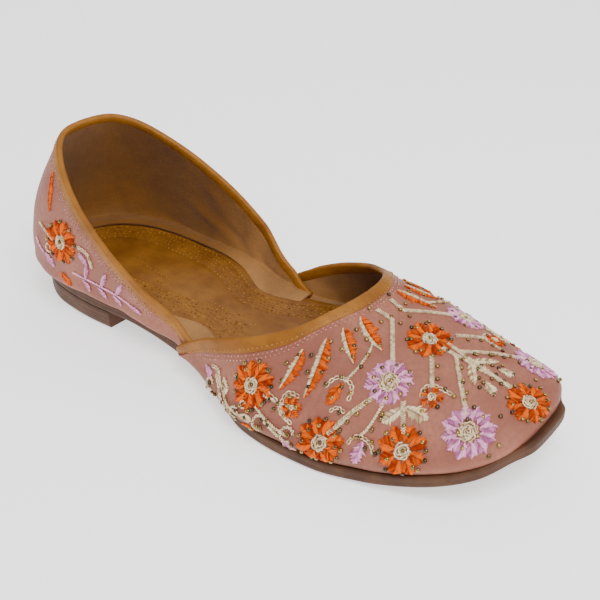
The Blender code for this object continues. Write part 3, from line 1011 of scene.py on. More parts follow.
def fine_vamp(below, rows):
    """The vamp's half grid with many stations, from just above the feather line to a line below the topline."""
    crossing = ridge_crossing(below)
    foot, spine = vamp_stations(crossing, VAMP_BACK, TOE_FRONT_FAN)
    along = foot[:, 1]
    open_part = along < crossing - 1e-6
    height = np.maximum(edge_height(TOPLINE, INSTEP_HEIGHT, along, below), sole_top(along) + GAP + LEAST_EDGE)
    top = np.where(open_part, turn_at(height, along), np.pi / 2)
    turn = top[:, None] * (np.linspace(0, 1, rows) ** 1.3)[None, :]
    grid = last_point(foot[:, None, :], spine[:, None, :], turn)
    normals = last_normals(foot[:, None, :], spine[:, None, :], turn)
    grid[:, -1, 0] = np.where(open_part, grid[:, -1, 0], 0.0)
    grid[-1, :, 0] = 0.0
    return grid, normals


def soft_waves(grid, height, length):
    """Long shallow hollows over the leather, the same on both sides of the middle."""
    along, out, up = grid[..., 1] / length, np.abs(grid[..., 0]) / length, grid[..., 2] / length
    wave = np.sin(2.3 * along + 1.3 * up) * np.sin(2.1 * out + 0.7 * along + 0.6)
    return height * (wave + 0.5 * np.sin(3.1 * up - 1.9 * along))[..., None]


# Creases and wrinkles, each a soft line between two places: mm along, mm up, its width and depth (minus: a trough).
VAMP_CREASES = table(
    "along up along_end up_end width depth",
    (112, 9, 128, 22, 3.0, -0.35),
    (120, 6, 139, 15, 2.6, -0.3),
    (131, 27, 150, 33, 3.4, -0.22),
    (150, 5, 171, 9, 2.6, -0.3),
    (186, 4, 202, 12, 3.0, -0.22),
    (214, 5, 226, 11, 2.6, -0.25),
)
QUARTER_CREASES = table(
    "along up along_end up_end width depth",
    (10, 12, 24, 26, 3.6, -0.35),
    (36, 9, 52, 24, 3.4, -0.3),
    (58, 8, 70, 22, 3.0, -0.35),
    (74, 5, 92, 12, 2.8, -0.4),
    (2, 24, 12, 44, 4.5, -0.3),
)
LINING_WRINKLES = table(
    "along up along_end up_end width depth",
    (18, 20, 44, 14, 2.4, 0.5),
    (30, 32, 64, 19, 2.2, -0.45),
    (48, 13, 72, 10, 1.8, 0.55),
    (56, 26, 79, 15, 2.0, 0.45),
    (70, 20, 92, 9, 1.8, -0.5),
    (40, 45, 58, 30, 2.8, -0.35),
    (8, 34, 22, 52, 3.2, 0.4),
    (78, 16, 97, 11, 1.6, 0.5),
    (84, 9, 100, 7, 1.4, 0.45),
    (24, 10, 40, 9, 1.6, -0.5),
    (62, 9, 84, 6, 1.5, 0.4),
)


def creases(grid, rows):
    """Depth of the creases over a half grid, in mm."""
    spot = grid[..., 1:]
    total = np.zeros(spot.shape[:2])
    for along, up, along_end, up_end, width, depth in zip(*rows.values()):
        start, run = np.array((along, up)), np.array((along_end - along, up_end - up))
        share = np.clip((spot - start) @ run / (run @ run), 0, 1)
        far = np.linalg.norm(spot - start - share[..., None] * run, axis=-1)
        total += depth * np.sin(np.pi * np.clip(share, 0.12, 0.88)) * np.exp(-(far / width) ** 2)
    return total[..., None]


# The waist: its place and reach as shares of the length.
WAIST, WAIST_REACH = 0.385, 0.075


def waist_share(along):
    """1 at the waist, where the lining is turned well over the insole's edge, and 0 away from it."""
    return np.exp(-((along / LENGTH - WAIST) / WAIST_REACH) ** 2)


def turned_over(grid, lift):
    """The lining with its lower edge turned in over the insole's edge, widest at the waist."""
    grid = grid.copy()
    grid[..., 2] = np.maximum(grid[..., 2], sole_top(grid[..., 1]) + lift)
    return lasted(grid, lift, 2.8 + 6.4 * waist_share(grid[:, :1, 1:2]), -0.9)


def lasted(grid, lift, reach=6.0, dip=0.0):
    """The grid with its lower edge carried on under the foot, flat on the sole."""
    first = grid[:, :1]
    spine = np.concatenate([np.zeros_like(first[..., :1]), np.clip(first[..., 1:2], 34, LENGTH - 40)], -1)
    towards = unit(spine - first[..., :2])
    rows = []
    for step in (reach, 0.35):
        row = first.copy()
        row[..., :2] += towards * step
        row[..., 0] = np.where(np.abs(first[..., 0]) < 1e-6, 0.0, np.maximum(row[..., 0], 0))
        row[..., 2] = sole_top(row[..., 1]) + lift + (dip if step is reach else 0.0)
        rows.append(row)
    return np.concatenate(rows + [grid], axis=1)


def eased(values, spread, flip):
    """Values along a half line with their corners eased. The start is mirrored by the flip, and the end stays."""
    reach = 4 * spread
    kernel = np.exp(-0.5 * (np.arange(-reach, reach + 1) / spread) ** 2)
    padded = np.concatenate([flip * values[reach:0:-1], values, 2 * values[-1] - values[-2:-reach - 2:-1]])
    return np.convolve(padded, kernel / kernel.sum(), "valid")


def tucked(grid, depth, reach):
    """How far the lowest leather turns in under itself below its roll over the sole's edge, mm, row by row."""
    over = grid[..., 2] - grid[:, :1, 2]
    return (1.5 * np.exp(-((over - 3.4) / 3.2) ** 2) - depth * np.exp(-(over / reach) ** 2))[..., None]


def dress_leather(part, grid, normals, dents, relief):
    """The vamp's or the quarter's leather, lasted in on the sole. Gives its outer face and the back of its lining."""
    hollow = np.minimum(dents, 0)
    outer, inner = offset(grid, normals, relief + dents), offset(grid, normals, LEATHER_BACK + hollow)
    rings = sheet_ring(*(lasted(face, lift) for face, lift in zip((outer, inner), LEATHER_LIFTS)))
    shell(part + "_leather", rings, rose_leather_paint, "upper_leather", [part])
    return outer, offset(grid, normals, LINING_BACK + hollow)


def dress_vamp():
    grid, normals = fine_vamp(BAND_WIDTH - UNDER_BAND, VAMP_ROWS)
    grid[..., 0] = np.where(np.abs(grid[..., 0]) < 1e-6, 0.0, grid[..., 0])
    normals = on_middle(grid, normals)
    relief = soft_waves(grid, 0.1, 20) + tucked(grid, 0.7, 1.6)
    outer, back = dress_leather("vamp", grid, normals, creases(grid, VAMP_CREASES), relief)
    face = offset(grid, normals, soft_waves(grid, 0.06, 9) - 1.5)
    rings = sheet_ring(*(lasted(some, lift) for some, lift in zip((back, face), VAMP_LINING_LIFTS)))
    shell("vamp_lining", rings, lining_paint, "lining_leather")
    return outer


def on_middle(grid, normals):
    """Normals that stay in the middle plane where the points do."""
    normals = normals.copy()
    normals[..., 0] = np.where(np.abs(grid[..., 0]) < 1e-6, 0.0, normals[..., 0])
    return unit(normals)


def band_profile(proud):
    """Section of a folded leather band: share of its width going up, and distance from the last, mm."""
    back = -WALL - BAND_INNER
    return np.array([(0.00, 0.00), (0.015, 0.30), (0.05, 0.42), (0.14, proud * 0.9), (0.30, proud),
                     (0.50, proud * 1.08), (0.70, proud * 1.12), (0.84, proud), (0.93, proud * 0.7), (0.98, 0.05),
                     (1.00, -0.55), (0.99, -1.05), (0.95, back * 0.86), (0.86, back), (0.5, back * 1.04),
                     (0.2, back), (0.02, back * 0.8)])


def fine_band(width, shares):
    """The vamp band's strip of the last at shares of its width, with normals."""
    crossing, lower = ridge_crossing(0), ridge_crossing(width)
    start = VAMP_BACK + 0.3
    along = np.concatenate([start + (crossing - start) * crowded(BAND_STATIONS),
                            crossing + (lower - crossing) * np.linspace(0, 1, PAST_THROAT)[1:]])
    low = edge_height(TOPLINE, INSTEP_HEIGHT, along, width)
    low = turn_at(np.maximum(low, sole_top(along) + GAP + LEAST_EDGE), along)
    low[-1] = np.pi / 2
    high = turn_at(edge_height(TOPLINE, INSTEP_HEIGHT, along), along)
    high[along >= crossing - 1e-6] = np.pi / 2
    turn = low[:, None] + (high - low)[:, None] * np.asarray(shares)[None, :]
    foot = np.stack([feather_out(along), along], 1)[:, None, :]
    spine = np.stack([np.zeros(len(along)), along], 1)[:, None, :]
    grid, normals = last_point(foot, spine, turn), last_normals(foot, spine, turn)
    grid[..., 0] = np.where(turn >= np.pi / 2 - 1e-7, 0.0, grid[..., 0])
    return grid, on_middle(grid, normals)


def dress_vamp_band():
    profile = band_profile(0.62)
    flat = profile[:, 0].copy()
    flat[9:12] = 1.0
    past = np.concatenate([np.zeros(BAND_STATIONS), np.linspace(0, 1, PAST_THROAT)[1:]])[:, None]
    edge, middle = fine_band(BAND_WIDTH, profile[:, 0]), fine_band(BAND_WIDTH, flat)
    grid, normals = (np.where(past[..., None] > 0, one, other) for one, other in zip(middle, edge))
    share = np.where(past > 0, flat, profile[:, 0]) * (1 - past)
    front, back = np.interp(share, *profile[:10].T), np.interp(share, *profile[:10:-1].T)
    depth = np.where(np.arange(len(profile)) < 10, front, back)
    depth[:, 10] = -0.55
    rings = offset(grid, normals, depth[..., None])
    shell("vamp_band", rings, tan_band_paint, "binding_leather", ["vamp_binding"], sharp=60)


def fine_quarter(shares, lower, upper):
    """The quarter between two lines below the collar, at shares of the height between them, with normals."""
    points = outline(FEATHER, 900)
    points = points[points[:, 1] <= QUARTER_FRONT]
    travel = travelled(points)
    way = np.linspace(0, 1, QUARTER_STATIONS)
    foot = on_line(way * travel[-1], travel, points)
    edge = {name: through(COLLAR["way"], COLLAR[name], way) for name in ("along", "out", "height", "belly", "drop")}
    edge = {name: eased(values, QUARTER_STATIONS // 30, -1 if name == "out" else 1) for name, values in edge.items()}
    rim = np.stack([edge["out"] * HALF_BALL, edge["along"] * LENGTH], 1)
    ahead = unit(np.gradient(foot, axis=0))
    out = np.stack([ahead[:, 1], -ahead[:, 0]], 1)
    out[0] = (0.0, -1.0)
    floor = sole_top(foot[:, 1]) + GAP
    collar = BACK_HEIGHT * edge["height"]
    least = floor + LEAST_EDGE
    low = floor if lower is None else np.maximum(collar - lower * edge["drop"], least)
    high = np.maximum(collar - upper * edge["drop"], least)
    height = low[:, None] + (high - low)[:, None] * np.asarray(shares)[None, :]
    up = ((height - floor[:, None]) / (collar - floor)[:, None])[..., None]
    belly = edge["belly"][:, None, None] * 2.6 * np.sqrt(np.maximum(up, 0)) * (1 - up)
    plan = foot[:, None, :] + (rim - foot)[:, None, :] * up + out[:, None, :] * belly
    along = plan[..., 1]
    turn = turn_at(height, along)
    inside = feather_out(along) * np.cos(turn) + swell(along, turn) - TUCK
    ease = np.clip((along / LENGTH - 0.31) / 0.08, 0, 1)
    ease = ease ** 2 * (3 - 2 * ease)
    plan[..., 0] = plan[..., 0] * (1 - ease) + inside * ease
    plan[0, :, 0] = 0.0
    grid = np.dstack([plan, height])
    return grid, grid_normals(grid)


def dress_quarter():
    shares = np.linspace(0, 1, QUARTER_ROWS) ** 1.2
    grid, normals = fine_quarter(shares, None, COLLAR_BAND_WIDTH - UNDER_BAND)
    normals = on_middle(grid, normals)
    relief = soft_waves(grid, 0.12, 18) + tucked(grid, 0.6, 1.4)
    outer, back = dress_leather("quarter", grid, normals, creases(grid, QUARTER_CREASES), relief)
    face = offset(grid, normals, 1.6 * creases(grid, LINING_WRINKLES) + soft_waves(grid, 0.14, 9) - 1.8)
    rings = sheet_ring(*(turned_over(some, lift) for some, lift in zip((back, face), QUARTER_LINING_LIFTS)))
    shell("quarter_lining", rings, lining_paint, "lining_leather")
    return outer


def dress_collar_band():
    profile = band_profile(0.5)
    grid, normals = fine_quarter(np.clip(profile[:, 0], 0, 1), COLLAR_BAND_WIDTH, 0.0)
    normals = np.repeat(normals[:, 4:5], len(profile), axis=1)
    rings = offset(grid, normals, profile[None, :, 1:])
    shell("collar_band", rings, tan_band_paint, "binding_leather", ["collar_binding"], sharp=60)


# The sole, the heel and the insole. The sole is trimmed in a little all round, and more at its waist: mm.
SOLE_TRIM, WAIST_TRIM, TRIM_PLACE, TRIM_REACH = 0.3, 2.2, 122, 30
TOE_CROWN = 0.03


def bottom_rings(points, bottom, top, section):
    """Half rings of a sole-like piece: from its middle out, up its side and back. Section: inset, share of height."""
    inner = np.array([0.0, 0.3, 0.6, 0.85])
    if points[0, 0] > 0:
        points = np.vstack([points[0] * (0, 1), points])
        bottom, top = np.append(bottom[0], bottom), np.append(top[0], top)
    ahead = np.gradient(points, axis=0)
    way = np.stack([ahead[:, 1], -ahead[:, 0]], 1) / np.linalg.norm(ahead, axis=1)[:, None]
    rings = []
    for point, out, low, high in zip(points, way, bottom, top):
        side = [(*np.maximum(point - out * inset, (0, -9)), low + (high - low) * share) for inset, share in section]
        ring = [(side[0][0] * share, side[0][1], low) for share in inner]
        ring += side + [(side[-1][0] * share, side[-1][1], high) for share in inner[::-1]]
        rings.append(ring)
    return np.array(rings)


def dress_sole():
    points = np.vstack([outline(SOLE_OUTLINE, 320), (0, LENGTH)])
    travel = travelled(points)
    even = np.linspace(0, travel[-1], 360)
    points = np.stack([eased(values, 3, flip) for values, flip in zip(on_line(even, travel, points).T, (-1, 1))], 1)
    points[:, 0] = np.maximum(points[:, 0], 0)
    points[[0, -1], 0] = 0
    points[:, 1] -= TOE_CROWN * points[:, 0] * np.clip((points[:, 1] - LENGTH + 12) / 10, 0, 1)
    trim = SOLE_TRIM + WAIST_TRIM * np.exp(-((points[:, 1] - TRIM_PLACE) / TRIM_REACH) ** 2)
    points[:, 0] -= trim * np.clip(points[:, 0] / 9, 0, 1)
    side = ((1.1, 0.0), (0.5, 0.05), (0.12, 0.14), (0.0, 0.25), (0.0, 0.45), (0.06, 0.5), (0.0, 0.55), (0.0, 0.78),
            (0.15, 0.9), (0.6, 0.985), (1.2, 1.0))
    rings = bottom_rings(points, sole_bottom(points[:, 1]), sole_top(points[:, 1]), side)
    shell("sole_leather", rings, sole_paint, "sole_leather", ["outsole"], sharp=45, closed=False)
    points = outline(SOLE_OUTLINE, 480, inset=0.5)
    last = [np.interp(HEEL_LENGTH, points[:, 1], points[:, 0]), HEEL_LENGTH]
    points = np.vstack([points[points[:, 1] < HEEL_LENGTH - 0.6], last])
    side = ((1.6, 0.0), (1.1, 0.06), (0.85, 0.2), (0.64, 0.32), (0.68, 0.35), (0.6, 0.38), (0.4, 0.62), (0.42, 0.65),
            (0.34, 0.68), (0.1, 0.95), (0.3, 1.0))
    rings = bottom_rings(points, np.zeros(len(points)), np.full(len(points), HEEL_HEIGHT - 0.05), side)
    shell("heel_block", rings, heel_paint, "heel_leather", ["heel"], sharp=45, closed=False)


# The insole's two stitched lines: how far in from its edge they run, and how much further at the waist, mm.
BORDER_LINES = (3.4, 12.6)
BORDER_WAIST = 7.5
# How far the insole's edge stays inside the upper's wall, mm.
INSOLE_INSET = table(
    "along inset",
    (0.00, 0.4),
    (0.28, 0.5),
    (0.36, 1.9),
    (0.47, 1.9),
    (0.54, 0.6),
    (0.90, 0.8),
    (1.00, 3.0),
)


def insole_outline(count, inset=0.0, waist=0.0):
    """Half outline of the insole, or of a line this far inside it and further still at the waist."""
    along = outline(FEATHER, count)[:, 1]
    side = waist * waist_share(along) + column(INSOLE_INSET, "inset", along)
    points = outline(FEATHER, count, side + WALL + inset)[1:-1]
    return points[(points[:, 0] > 1) & (points[:, 1] > 0)]


def insole_rim():
    half = insole_outline(420)
    return np.concatenate([half, half * (-1, 1)])


def insole_height(points, edge):
    """Height of the padded insole: full near its middle, pressed in along the two stitched lines round its border."""
    distance = np.min(np.linalg.norm(points[:, None, :] - edge[None, :, :], axis=2), axis=1)
    height = sole_top(points[:, 1]) + GAP + INSOLE_THICKNESS * (1 - np.exp(-distance / 1.1))
    height += 0.9 * (1 - np.exp(-np.maximum(distance - BORDER_LINES[1], 0) / 9))
    shown = distance - BORDER_WAIST * waist_share(points[:, 1])
    for line in BORDER_LINES:
        height -= 0.45 * np.exp(-((shown - line) / 0.6) ** 2)
    return height + 0.15 * np.sin(points[:, 1] / 7.3) * np.sin(points[:, 0] / 5.1 + 1.0)


def dress_insole():
    edge, shares = insole_rim(), crowded(44)
    rings = []
    for out, along in insole_outline(300):
        bottom = [(out * share, along, sole_top(along) + GAP) for share in (0.0, 0.5, 0.97)]
        line = np.stack([out * shares[::-1], np.full(len(shares), along)], 1)
        rings.append(bottom + [(x, y, z) for (x, y), z in zip(line, insole_height(line, edge))])
    rings = np.array(rings)
    pad = shell("insole_pad", rings, insole_paint, "insole_leather", ["insole"], sharp=60, closed=False)
    return rings[:, 3:]


# Rows of stitches on the bands and the insole.
def sew_row(line, normals, size, gap, length, name, paint, mirror=True, lean=0.0):
    """One row of plump stitches along a line of points, size + gap apart. They lean where lean is not 0."""
    places, out, ahead = stitch_line(line, normals, size + gap)
    ahead = ahead + lean * np.cross(out, ahead)
    if mirror:
        places, out, ahead = (np.concatenate([some, some * (-1, 1, 1)]) for some in (places, out, ahead))
    sizes = np.full(len(places), size)
    return sown(name, places, out, sizes, stitch_shape(length / size), paint, "thread", turns=ahead)


def quarter_line(below, proud):
    """A line that follows the collar at this many mm below it, on the leather or proud of it."""
    grid, normals = fine_quarter([0.0, 1.0], below, below - 0.6)
    return offset(grid, normals, proud)[:, 0], normals[:, 0]


def vamp_line(share, width, proud):
    """A line that follows the vamp's band at a share of a strip of this width below the topline."""
    grid, normals = fine_band(width, [share, min(share + 0.1, 1.0)])
    return offset(grid, normals, proud)[:, 0], normals[:, 0]


def sew_rows():
    seam = thread("tan_thread", colour(204, 150, 92), colour(150, 96, 46), 0.2)
    pale = thread("pale_thread", colour(222, 178, 164), colour(176, 122, 108), 0.05)
    sew_row(*quarter_line(COLLAR_BAND_WIDTH - 1.1, 0.52), 1.25, 0.55, 0.55, "collar_band_stitches", seam)
    for row, below in enumerate((0.8, 2.0, 3.2)):
        line = quarter_line(COLLAR_BAND_WIDTH + below, 0.1)
        sew_row(*line, 0.9, 0.5 + 0.2 * row, 0.6, f"collar_edge_stitches_{row}", pale)
    sew_row(*vamp_line(0.2, BAND_WIDTH, 0.66), 1.3, 0.6, 0.55, "vamp_band_stitches", seam)
    for row, below in enumerate((0.9, 2.2)):
        line = vamp_line(0.0, BAND_WIDTH + below, 0.15)
        sew_row(*line, 1.3, 0.5, 0.7, f"vamp_edge_stitches_{row}", pale, lean=0.9 - 1.8 * row)


# What the embroidery shows, read off the photo. Each row holds pixels of the photo on the shoe's near side.
BIG_ORANGE = table(
    "across down radius petals turn",
    (231.6, 385.8, 9.4, 9, 0.3),
    (270.9, 419.2, 9.4, 8, 0.1),
    (318.7, 423.9, 9.4, 8, 0.4),
    (121.4, 302.9, 9.4, 8, 0.2),
)
MIDDLE_ORANGE = table(
    "across down radius petals turn",
    (334.3, 359.3, 9.4, 8, 0.39),
    (392.1, 395.9, 9.4, 8, 0.1),
)
LAVENDER = table(
    "across down radius petals turn",
    (311.0, 384.0, 8.8, 11, 0.2),
    (357.0, 412.6, 10.0, 12, 0.5),
)
SMALL_ORANGE = table(
    "across down radius petals turn",
    (335.7, 392.9, 4.2, 5, 0.3),
    (254.8, 398.8, 4.0, 6, 0.1),
)
# Long leaves: first and last pixel, half width in mm, bend in mm.
LEAVES = table(
    "across down across_end down_end width bend",
    (262.0, 364.5, 247.5, 388.5, 2.7, 0.8),
    (275.8, 357.5, 261.5, 394.5, 2.9, 1.2),
    (284.6, 352.4, 291.0, 374.0, 2.4, -0.4),
    (294.0, 345.8, 307.2, 366.2, 2.9, -0.8),
)
# Buds and small petals: first and last pixel, half width in mm, colour: 0 orange, 1 lavender, 2 cream.
BUDS = table(
    "across down across_end down_end width colour",
    (284.5, 384.5, 275.0, 397.0, 2.6, 0),
    (226.0, 407.0, 230.9, 414.0, 2.3, 0),
    (205.6, 373.6, 208.3, 381.6, 1.5, 1),
    (249.0, 417.2, 256.0, 422.4, 2.0, 1),
    (296.0, 417.8, 290.6, 430.6, 2.6, 1),
    (216.0, 380.8, 216.9, 391.0, 1.9, 2),
    (225.0, 402.6, 231.5, 406.4, 1.5, 2),
    (319.5, 398.6, 307.0, 407.4, 2.5, 2),
    (320.4, 398.6, 333.4, 405.8, 3.0, 2),
    (357.6, 372.8, 360.4, 386.0, 2.0, 2),
    (366.4, 384.0, 372.2, 392.2, 2.2, 2),
    (117.2, 261.5, 115.0, 285.5, 1.5, 0),
    (121.5, 320.2, 127.6, 328.0, 1.6, 0),
    (112.8, 308.5, 117.8, 317.0, 1.8, 1),
    (132.0, 309.0, 136.5, 316.5, 1.4, 1),
    (136.0, 324.0, 136.6, 315.6, 1.2, 1),
    (134.5, 324.4, 138.5, 331.4, 1.2, 1),
    (145.0, 328.8, 147.4, 321.6, 1.2, 1),
    (143.0, 328.8, 148.0, 335.4, 1.2, 1),
    (153.4, 333.4, 157.0, 327.6, 1.1, 1),
    (151.8, 333.4, 156.6, 339.6, 1.1, 1),
    (161.0, 339.0, 168.0, 344.4, 1.1, 1),
)
STEMS = (
    ((312.7, 348.1), (312.9, 360.0), (313.1, 373.5)),
    ((304.0, 342.2), (308.0, 345.0), (312.7, 348.1)),
    ((335.5, 369.5), (335.8, 386.5)),
    ((342.0, 364.3), (349.4, 368.8)),
    ((349.4, 368.8), (352.2, 384.8), (354.6, 396.8), (355.8, 402.4)),
    ((349.4, 368.8), (355.4, 371.6), (361.8, 376.0), (372.9, 381.8), (381.0, 387.0)),
    ((301.0, 393.6), (291.2, 400.4), (282.8, 407.4), (276.4, 413.6)),
    ((319.2, 395.5), (319.5, 413.0)),
)
THIN_STEMS = (
    ((234.0, 398.0), (238.8, 404.4), (245.2, 410.8), (250.0, 414.0)),
    ((238.8, 391.6), (245.2, 394.8), (249.2, 396.4)),
    ((301.5, 360.8), (299.0, 368.0), (294.0, 375.0), (286.5, 383.0)),
    ((308.0, 396.5), (303.0, 404.5), (298.2, 411.6), (294.0, 415.0)),
    ((239.3, 407.4), (246.3, 414.4)),
    ((213.0, 376.0), (214.5, 386.0), (218.5, 398.0), (225.5, 404.0)),
    ((109.5, 291.5), (113.0, 296.5), (116.6, 301.0)),
)
CHAINS = (
    ((211.4, 379.0), (213.0, 386.5), (213.8, 394.0), (217.8, 399.6), (220.6, 405.4)),
    ((209.0, 374.5), (211.4, 375.2), (212.4, 378.4)),
    ((247.6, 398.0), (250.0, 404.4), (252.8, 406.2)),
    ((250.0, 423.5), (254.5, 426.0), (257.4, 423.0)),
    ((274.2, 387.0), (277.0, 383.8), (282.5, 381.2), (288.0, 383.6), (289.6, 389.5), (287.4, 394.8)),
    ((248.6, 397.0), (250.5, 392.0), (255.0, 390.0), (259.0, 392.6)),
    ((276.6, 401.0), (281.5, 398.6), (285.4, 401.5)),
    ((286.9, 419.8), (290.0, 415.8), (294.5, 415.4), (299.8, 419.0), (302.0, 425.5)),
    ((329.6, 393.2), (330.4, 388.6), (335.8, 385.8), (341.5, 388.4), (347.2, 391.4)),
    ((240.0, 389.5), (246.0, 394.8), (250.5, 403.5), (254.5, 408.0)),
    ((131.0, 305.5), (136.5, 309.5), (139.5, 318.0)),
)
PALE_STEMS = (
    ((128.5, 320.5), (136.5, 324.5), (144.5, 328.6), (152.5, 333.0), (160.5, 338.6)),
    ((107.5, 300.0), (109.0, 304.0), (112.0, 309.0)),
)
CURLS = table(
    "across down radius",
    (207.4, 384.6, 2.3),
    (235.6, 407.6, 2.9),
    (251.8, 414.4, 2.9),
    (221.0, 401.2, 2.2),
    (226.8, 396.8, 1.6),
    (114.5, 306.0, 2.0),
)
BEADS = (
    (207.4, 384.6), (209.0, 389.4), (215.8, 387.4), (218.0, 401.4), (222.6, 400.4), (221.0, 406.8), (215.2, 401.6),
    (227.8, 404.4), (234.4, 409.6), (237.4, 405.8), (251.8, 414.4), (250.4, 420.4), (254.6, 420.2), (242.2, 394.0),
    (246.8, 396.2), (244.4, 399.6), (252.6, 397.4), (257.2, 398.2), (254.2, 392.2), (229.6, 400.8), (241.0, 408.8),
    (252.0, 373.0), (259.0, 368.5), (249.0, 383.2), (266.2, 368.6), (276.2, 370.4), (263.8, 378.2), (272.2, 378.6),
    (264.6, 386.8), (277.4, 360.6), (283.8, 365.0), (290.7, 363.3), (290.2, 369.8), (292.2, 353.8), (298.0, 359.5),
    (305.6, 363.3), (306.4, 349.4), (299.5, 341.5), (312.0, 346.4), (317.5, 350.1), (298.6, 368.4), (294.8, 375.2),
    (283.4, 381.3), (274.6, 385.2), (283.6, 387.0), (278.0, 393.0), (288.8, 390.5), (282.4, 401.4), (297.8, 396.2),
    (292.6, 402.2), (287.0, 406.8), (282.6, 411.8), (293.8, 415.8), (290.4, 416.0), (301.2, 411.5), (306.0, 405.4),
    (301.0, 418.6), (297.2, 422.2), (303.0, 425.5), (253.6, 392.0), (247.4, 396.0), (257.4, 398.8), (250.2, 403.2),
    (205.6, 387.0), (210.6, 390.8), (214.8, 395.5), (219.0, 401.0), (220.4, 406.5), (236.6, 410.2), (240.4, 406.6),
    (228.6, 413.8), (252.6, 414.8), (254.6, 421.6), (216.3, 386.0), (228.8, 376.6), (241.0, 377.2), (237.6, 397.0),
    (223.6, 381.5), (339.0, 375.0), (339.0, 382.4), (343.4, 388.2), (348.6, 392.4), (339.0, 398.6), (331.5, 389.6),
    (352.2, 375.2), (353.8, 383.2), (355.8, 390.4), (360.2, 398.7), (355.6, 369.6), (361.4, 368.4), (371.0, 368.5),
    (381.0, 369.6), (364.2, 374.8), (370.6, 374.6), (376.6, 374.6), (372.8, 380.0), (365.6, 384.6), (375.8, 385.2),
    (382.9, 380.1), (375.5, 404.0), (368.6, 427.0), (374.5, 420.7), (353.4, 422.4), (350.6, 413.6), (362.3, 415.6),
    (356.2, 405.8), (365.4, 404.2), (307.1, 375.8), (315.5, 374.8), (322.7, 378.4), (322.7, 385.6), (317.5, 391.2),
    (309.5, 393.6), (302.6, 389.4), (302.0, 381.6), (312.3, 383.2), (330.0, 401.0), (307.0, 402.5), (313.5, 417.0),
    (321.6, 414.4), (330.6, 418.6), (331.8, 429.6), (310.0, 428.5), (325.0, 433.0), (265.2, 411.2), (271.0, 408.8),
    (279.5, 415.0), (280.2, 421.5), (266.5, 427.0), (280.6, 428.0), (260.8, 418.0),
)
MIDDLE_BEADS = (
    (327.2, 352.8), (334.0, 349.2), (341.5, 353.5), (344.8, 360.5), (340.5, 366.5), (329.5, 366.0), (323.8, 359.5),
    (334.6, 358.8), (388.4, 385.8), (398.5, 387.6), (402.0, 395.0), (398.0, 405.5), (388.2, 405.6), (382.6, 397.5),
    (392.5, 396.0),
)


def ring_of_beads(patch, beads, radius, count, turn, mirror):
    """One bead in each notch between the petals, and one in the heart."""
    angles = turn + (np.arange(count) + 0.5) * 2 * np.pi / count
    flat = np.stack([np.cos(angles), np.sin(angles)], 1) * radius
    places, normals = patch.lay(np.vstack([flat, (0.4, 0.2)]), np.append(np.full(count, 0.5), 1.0))
    beads.add(places, normals, 0.9, mirror)


def embroider(ground):
    orange, cream, lavender, beads = Skein(), Skein(), Skein(), Beads()
    for rows, mirror in ((BIG_ORANGE, True), (MIDDLE_ORANGE, False), (SMALL_ORANGE, True)):
        for across_, down, radius, petals, turn in zip(*rows.values()):
            patch = flower(ground, (across_, down), radius, int(petals), orange, cream, turn, mirror)
            if radius > 6:
                ring_of_beads(patch, beads, radius * 0.93, int(petals), turn, mirror)
    for across_, down, radius, petals, turn in zip(*LAVENDER.values()):
        flower(ground, (across_, down), radius, int(petals), lavender, cream, turn, spiky=True, inner=0.36)
    for across_, down, across_end, down_end, width, bend in zip(*LEAVES.values()):
        split_leaf(ground, (across_, down), (across_end, down_end), width, orange, cream, bend)
    for across_, down, across_end, down_end, width, shade in zip(*BUDS.values()):
        bud(ground, (across_, down), (across_end, down_end), width, (orange, lavender, cream)[int(shade)])
    for pixels in STEMS:
        stem(ground, pixels, cream, width=2.0, spacing=0.8)
    for pixels in THIN_STEMS:
        stem(ground, pixels, cream, width=0.9, spacing=1.1)
    for pixels in CHAINS:
        chain(ground, pixels, cream)
    for pixels in PALE_STEMS:
        stem(ground, pixels, lavender, width=0.7, spacing=1.0, tone=0.8, rise=0.2)
    for across_, down, radius in zip(*CURLS.values()):
        curl(ground, (across_, down), radius, cream)
    beads.at(ground, BEADS)
    beads.at(ground, MIDDLE_BEADS, mirror=False)
    orange.make("orange_stitches", thread("orange_thread", colour(247, 110, 0), colour(152, 40, 0), 0.0))
    cream.make("cream_stitches", thread("cream_thread", colour(255, 234, 194), colour(168, 132, 88), 0.05))
    lavender.make("lavender_stitches", thread("lavender_thread", colour(255, 184, 222), colour(176, 94, 142), 0.05))
    beads.make("bead_trim", bronze_bead())


# Dotted rows across the insole's waist, read off the photo.
INSOLE_ROWS = (
    ((166.0, 327.9), (182.9, 331.8), (198.5, 340.9), (207.6, 350.0)),
    ((169.9, 335.0), (185.5, 335.7), (198.5, 343.5), (205.0, 353.4)),
    ((176.4, 325.3), (192.0, 334.4), (202.4, 340.9), (212.8, 342.2)),
    ((207.6, 337.0), (217.0, 343.0), (231.0, 346.5)),
    ((209.0, 345.0), (220.0, 349.5), (235.0, 351.0)),
    ((206.0, 352.0), (216.0, 354.5), (226.0, 355.0)),
    ((163.0, 309.0), (170.0, 316.0), (178.0, 321.0), (186.0, 326.5)),
)
BORDER_DOTS = (5.2, 7.0, 8.8, 10.6)


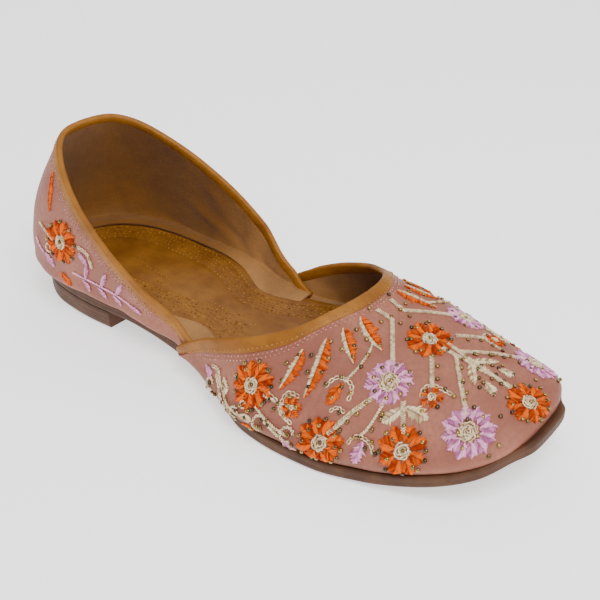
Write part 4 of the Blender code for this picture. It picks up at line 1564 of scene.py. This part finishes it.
def sew_insole(half):
    """Stitched lines and dotted rows along the insole's border, and dotted rows across its waist."""
    gold = thread("gold_thread", colour(206, 148, 66), colour(84, 44, 6), 0.0)
    rim = insole_rim()
    for index, inset in enumerate(BORDER_LINES + BORDER_DOTS):
        line = insole_outline(300, inset, BORDER_WAIST)
        line = np.column_stack([line, insole_height(line, rim) + 0.08])
        sizes = (1.5, 0.7, 0.55) if index < len(BORDER_LINES) else (0.85, 1.0, 0.8)
        sew_row(line, np.tile((0.0, 0.0, 1.0), (len(line), 1)), *sizes, f"insole_border_{index}", gold)
    ground = Ground(half)
    for index, pixels in enumerate(INSOLE_ROWS):
        line, up = ground.lay(smooth_line([ground.seen(pixel) for pixel in pixels], 1.0))
        sew_row(line + up * 0.06, up, 0.9, 0.9, 0.85, f"insole_row_{index}", gold, mirror=False)


# Stage: floor, lights and camera.
FLOOR_REACH = 6.0


def add_stage():
    mesh = bpy.data.meshes.new("floor")
    corners = [(x * FLOOR_REACH, y * FLOOR_REACH, 0) for x, y in ((-1, -1), (1, -1), (1, 1), (-1, 1))]
    mesh.from_pydata(corners, [], [(0, 1, 2, 3)])
    mesh.materials.append(pale_floor())
    floor = bpy.data.objects.new("floor", mesh)
    floor.location.z = -0.0003
    bpy.context.scene.collection.objects.link(floor)
    world = bpy.data.worlds.new("studio")
    world.use_nodes = True
    background = world.node_tree.nodes["Background"].inputs
    background["Color"].default_value = (1.0, 1.0, 1.0, 1.0)
    background["Strength"].default_value = 0.55
    bpy.context.scene.world = world
    for name, place, size, power in (("key", (0.35, 0.45, 0.95), 0.5, 10.0), ("fill", (-0.5, 0.75, 0.7), 0.9, 2.5),
                                     ("back", (-0.6, -0.6, 0.9), 0.8, 3.0)):
        light = bpy.data.lights.new(name, "AREA")
        light.size, light.energy = size, power
        lamp = bpy.data.objects.new(name, light)
        lamp.location = place
        lamp.rotation_euler = (Vector((0, 0, 0.02)) - Vector(place)).to_track_quat("-Z", "Y").to_euler()
        bpy.context.scene.collection.objects.link(lamp)


rose_leather_paint = rose_leather()
lining_paint = lining_suede()
tan_band_paint = tan_leather("tan_band", colour(164, 106, 34), colour(134, 80, 18), 0.42)
insole_paint = tan_leather("tan_insole", colour(142, 92, 30), colour(110, 64, 12), 0.42, 0.4)
sole_paint = sole_leather("sole_edge", colour(92, 60, 40), colour(74, 47, 32))
heel_paint = sole_leather("heel_stack", colour(92, 60, 40), colour(74, 47, 32))

vamp_face = dress_vamp()
quarter_face = dress_quarter()
dress_vamp_band()
dress_collar_band()
dress_sole()
insole_face = dress_insole()
sew_rows()
sew_insole(insole_face)
embroider(Ground(vamp_face, quarter_face))
add_stage()
add_camera()
